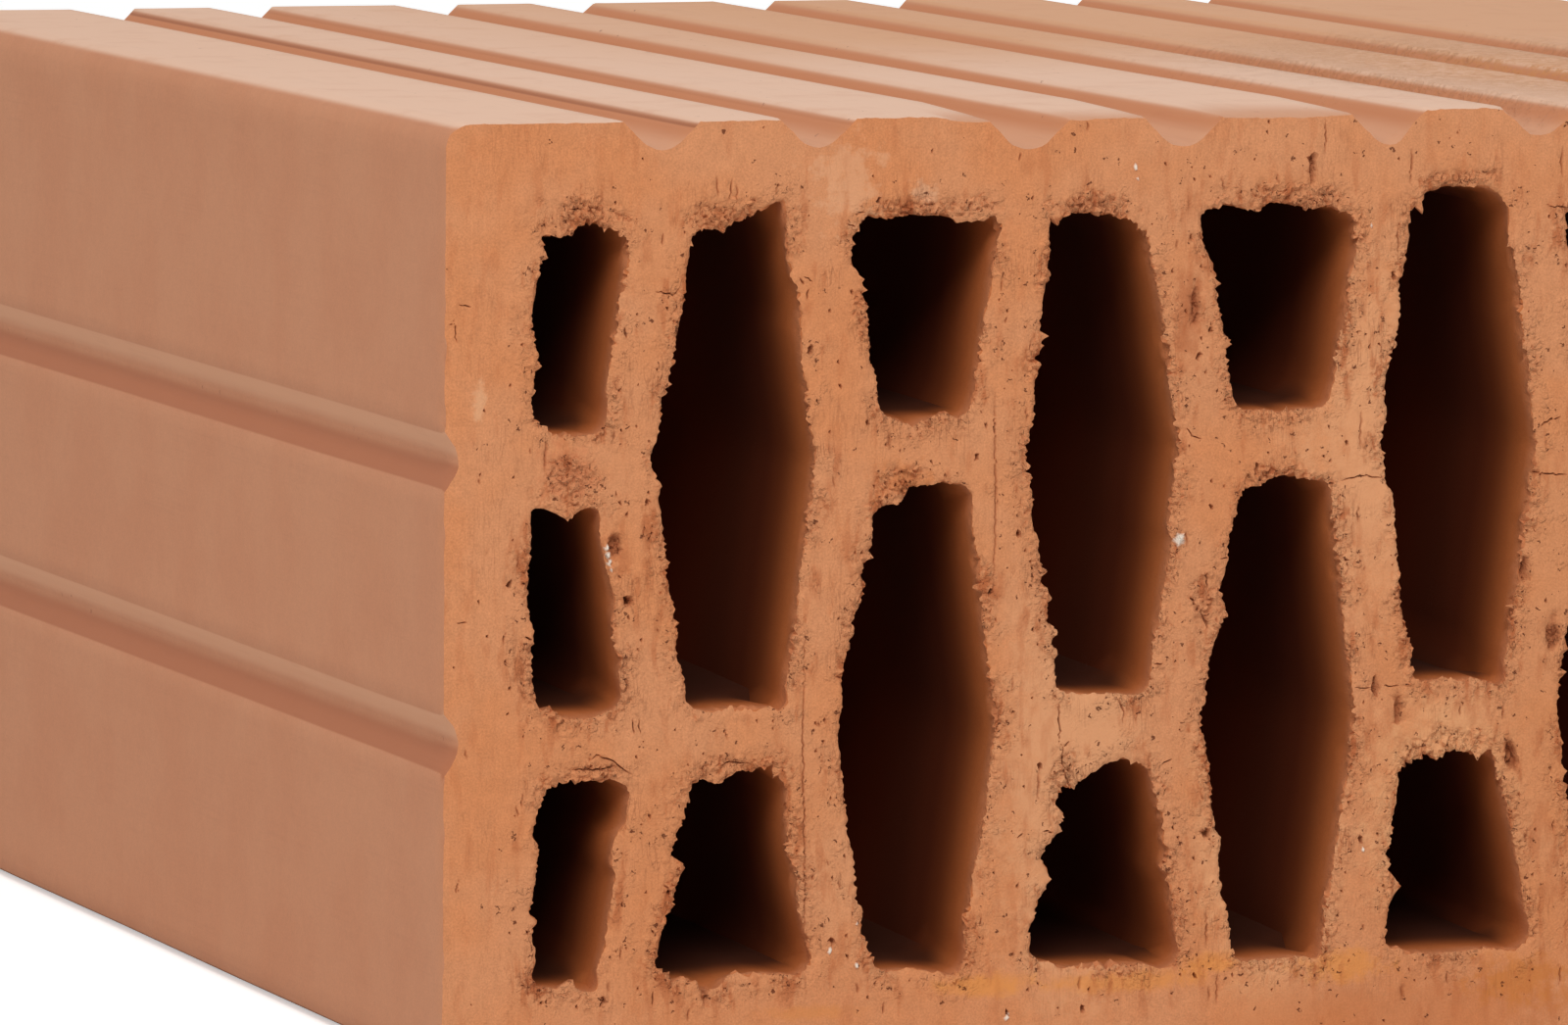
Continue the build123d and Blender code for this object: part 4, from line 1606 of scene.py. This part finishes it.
def make_skin_clay():
    material, tree, shader, place = start_material("skin_clay", 0.75, 0.3)
    body = place_group(
        tree, clay_body, Place=place, Grain=0.2, Patches=0.5,
        Colour=clay(196, 134, 98), Warm_colour=clay(190, 125, 89),
    )
    lines = place_group(tree, drag_lines, Place=place, Stretch=(0.35, 0.006, 0.35), Share=0.2)
    holes = place_group(tree, pinholes, Place=place, Cells_per_mm=0.4, Radius=0.14, Share=0.08)
    colour, plateau = with_film_and_painted_light(tree, body["Colour"], place)
    colour = with_grooves(tree, colour, place, plateau)

    crumbling = noise_node(tree, place, 0.7, 4.0, 0.7)
    rubbed = place_group(
        tree, smear, Place=place, Middle=RUBBED_MIDDLE, Reach=RUBBED_REACH,
        Noise=crumbling, Raggedness=0.9,
    )[0]
    rubbed = times(tree, rubbed, step_node(tree, part_of(tree, place, "Z"), 108.0, 112.0))
    raw = step_node(tree, crumbling, 0.4, 0.6)
    colour = tinted(tree, colour, clay(200, 134, 78), rubbed, raw, 0.8)

    dark = clay(120, 66, 44)
    colour = tinted(tree, colour, dark, lines["Lines"], 0.2)
    # painted shade inside the pinholes
    colour = tinted(tree, colour, dark, holes[0], 0.5)
    tree.links.new(colour, shader.inputs["Base Color"])
    height = times(tree, body["Height"], 0.02)
    height = math_node(tree, "MULTIPLY_ADD", lines["Height"], 0.07, height)
    height = math_node(tree, "MULTIPLY_ADD", times(tree, rubbed, crumbling), 0.5, height)
    bump(tree, shader, height)
    return material


skin_clay = make_skin_clay()
print("material made:", skin_clay.name)

# %% [markdown]
# ## Chamber walls
# The chambers burned redder than the outside, and seen from the front they fall off to near black
# within two centimetres. The soft light here reaches further in than that, so painted shade goes
# into the clay's colour behind the cut: three smooth steps by depth, from either end, the last one
# a little lighter and redder deep inside. Surfaces that look up get more painted shade. The torn
# zone right behind a rim takes the colour of the cut.

# %% Chamber walls
# Each step of painted shade: the depths behind a cut between which it takes over, and its colour.
CHAMBER_PAINTED_SHADE = [
    (1.0, 13.0, (106, 48, 17)),
    (11.0, 18.0, (84, 31, 7)),
    (24.0, 60.0, (160, 60, 14)),
]


def make_chamber_clay():
    material, tree, shader, place = start_material("chamber_clay", 0.9, 0.15)
    torn = mask_of(tree, "torn")
    body = place_group(
        tree, clay_body, Place=place, Grain=0.25, Patches=0.4,
        Colour=clay(180, 100, 51), Warm_colour=clay(176, 93, 44),
    )
    from_middle = math_node(tree, "ABSOLUTE", part_of(tree, place, "Y"))
    behind = math_node(tree, "SUBTRACT", DEPTH / 2, from_middle)
    colour = body["Colour"]
    # painted shade: the clay's colour darkens step by step behind each cut
    for start, end, tint in CHAMBER_PAINTED_SHADE:
        colour = tinted(tree, colour, clay(*tint), step_node(tree, behind, start, end))
    normal = tree.nodes.new("ShaderNodeNewGeometry").outputs["Normal"]
    # painted shade on surfaces that look up, such as the floors, from 2 to 12 mm behind a cut
    painted_shade_looking_up = step_node(tree, part_of(tree, normal, "Z"), 0.3, 0.95)
    colour = tinted(tree, colour, clay(52, 22, 9), painted_shade_looking_up, step_node(tree, behind, 2.0, 12.0), 0.8)
    colour = tinted(tree, colour, clay(198, 126, 86), torn, 0.8)
    tree.links.new(colour, shader.inputs["Base Color"])
    amount = math_node(tree, "MULTIPLY_ADD", torn, 0.12, 0.03)
    bump(tree, shader, times(tree, body["Height"], amount))
    return material


chamber_clay = make_chamber_clay()
for material in (cut_clay, skin_clay, chamber_clay):
    brick_mesh.materials.append(material)
print("materials on the brick:", [m.name for m in brick_mesh.materials])

# %% [markdown]
# ## Floor
# The brick lies on a plain pale floor that runs on to the edge of the picture. A white card would
# do in a studio. Here the floor is a wide disc with a matt white finish, and for rays that come
# straight from the camera it adds a little light of its own, so that it reads as white paper while
# the brick's soft shadow still shows on it.

# %% Floor
FLOOR_RADIUS = 12.0
FLOOR_GLOW = 0.45


def make_floor():
    shape = bmesh.new()
    bmesh.ops.create_circle(shape, cap_ends=True, segments=96, radius=FLOOR_RADIUS)
    mesh = bpy.data.meshes.new("floor")
    shape.to_mesh(mesh)
    shape.free()
    floor = bpy.data.objects.new("floor", mesh)
    bpy.context.scene.collection.objects.link(floor)
    material = bpy.data.materials.new("white_paper")
    material.use_nodes = True
    tree = material.node_tree
    shader = tree.nodes["Principled BSDF"]
    shader.inputs["Base Color"].default_value = (0.86, 0.86, 0.85, 1.0)
    shader.inputs["Roughness"].default_value = 0.9
    shader.inputs["Specular IOR Level"].default_value = 0.1
    shader.inputs["Emission Strength"].default_value = FLOOR_GLOW
    rays = tree.nodes.new("ShaderNodeLightPath")
    tree.links.new(rays.outputs["Is Camera Ray"], shader.inputs["Emission Color"])
    mesh.materials.append(material)
    return floor


floor = make_floor()
print("floor is", 2 * FLOOR_RADIUS, "m across")

# %% [markdown]
# ## World
# The world is a soft light without a place: it fills the shadows evenly from all sides. Camera and
# glossy rays see it as plain white, which is the background, while the light that it gives is
# weaker, so that clay renders about as its colour is written.

# %% World
FILL = 0.55


def make_world():
    world = bpy.data.worlds.new("studio")
    world.use_nodes = True
    tree = world.node_tree
    tree.nodes.clear()
    rays = tree.nodes.new("ShaderNodeLightPath")
    seen = math_node(tree, "MAXIMUM", rays.outputs["Is Camera Ray"], rays.outputs["Is Glossy Ray"])
    fill_light = add_node(tree, "ShaderNodeBackground", Color=(0.98, 0.99, 1.0, 1.0), Strength=FILL)
    white = add_node(tree, "ShaderNodeBackground", Color=(1.0, 1.0, 1.0, 1.0), Strength=1.0)
    choose = tree.nodes.new("ShaderNodeMixShader")
    for k, link in enumerate((seen, fill_light.outputs[0], white.outputs[0])):
        tree.links.new(link, choose.inputs[k])
    add_node(tree, "ShaderNodeOutputWorld", Surface=choose.outputs[0])
    bpy.context.scene.world = world


make_world()
print("fill light strength:", FILL)

# %% [markdown]
# ## Lamp
# The light in the photograph is soft and comes from above, from the front and from the left, as
# from a large window or a softbox. One big area lamp does that: the larger it is, the softer its
# shadows. The view transform is Standard, so that a colour shows as it is written.

# %% Lamp
LAMP_PLACE = (-0.9, -1.9, 1.9)
LAMP_SIZE = 1.2
LAMP_POWER = 42.0
LAMP_COLOUR = (1.0, 0.985, 0.96)

softbox = bpy.data.lights.new("softbox", "AREA")
softbox.shape = "SQUARE"
softbox.size = LAMP_SIZE
softbox.energy = LAMP_POWER
softbox.color = LAMP_COLOUR
lamp = bpy.data.objects.new("softbox", softbox)
bpy.context.scene.collection.objects.link(lamp)

middle = Vector([(a + b) / 2 * MM for a, b in zip(brick_low, brick_high)])
facing = (middle - Vector(LAMP_PLACE)).to_track_quat("-Z", "Y").to_matrix().to_4x4()
lamp.matrix_world = Matrix.Translation(LAMP_PLACE) @ facing
bpy.context.scene.view_settings.view_transform = "Standard"
print("lamp:", LAMP_POWER, "W from", LAMP_PLACE)
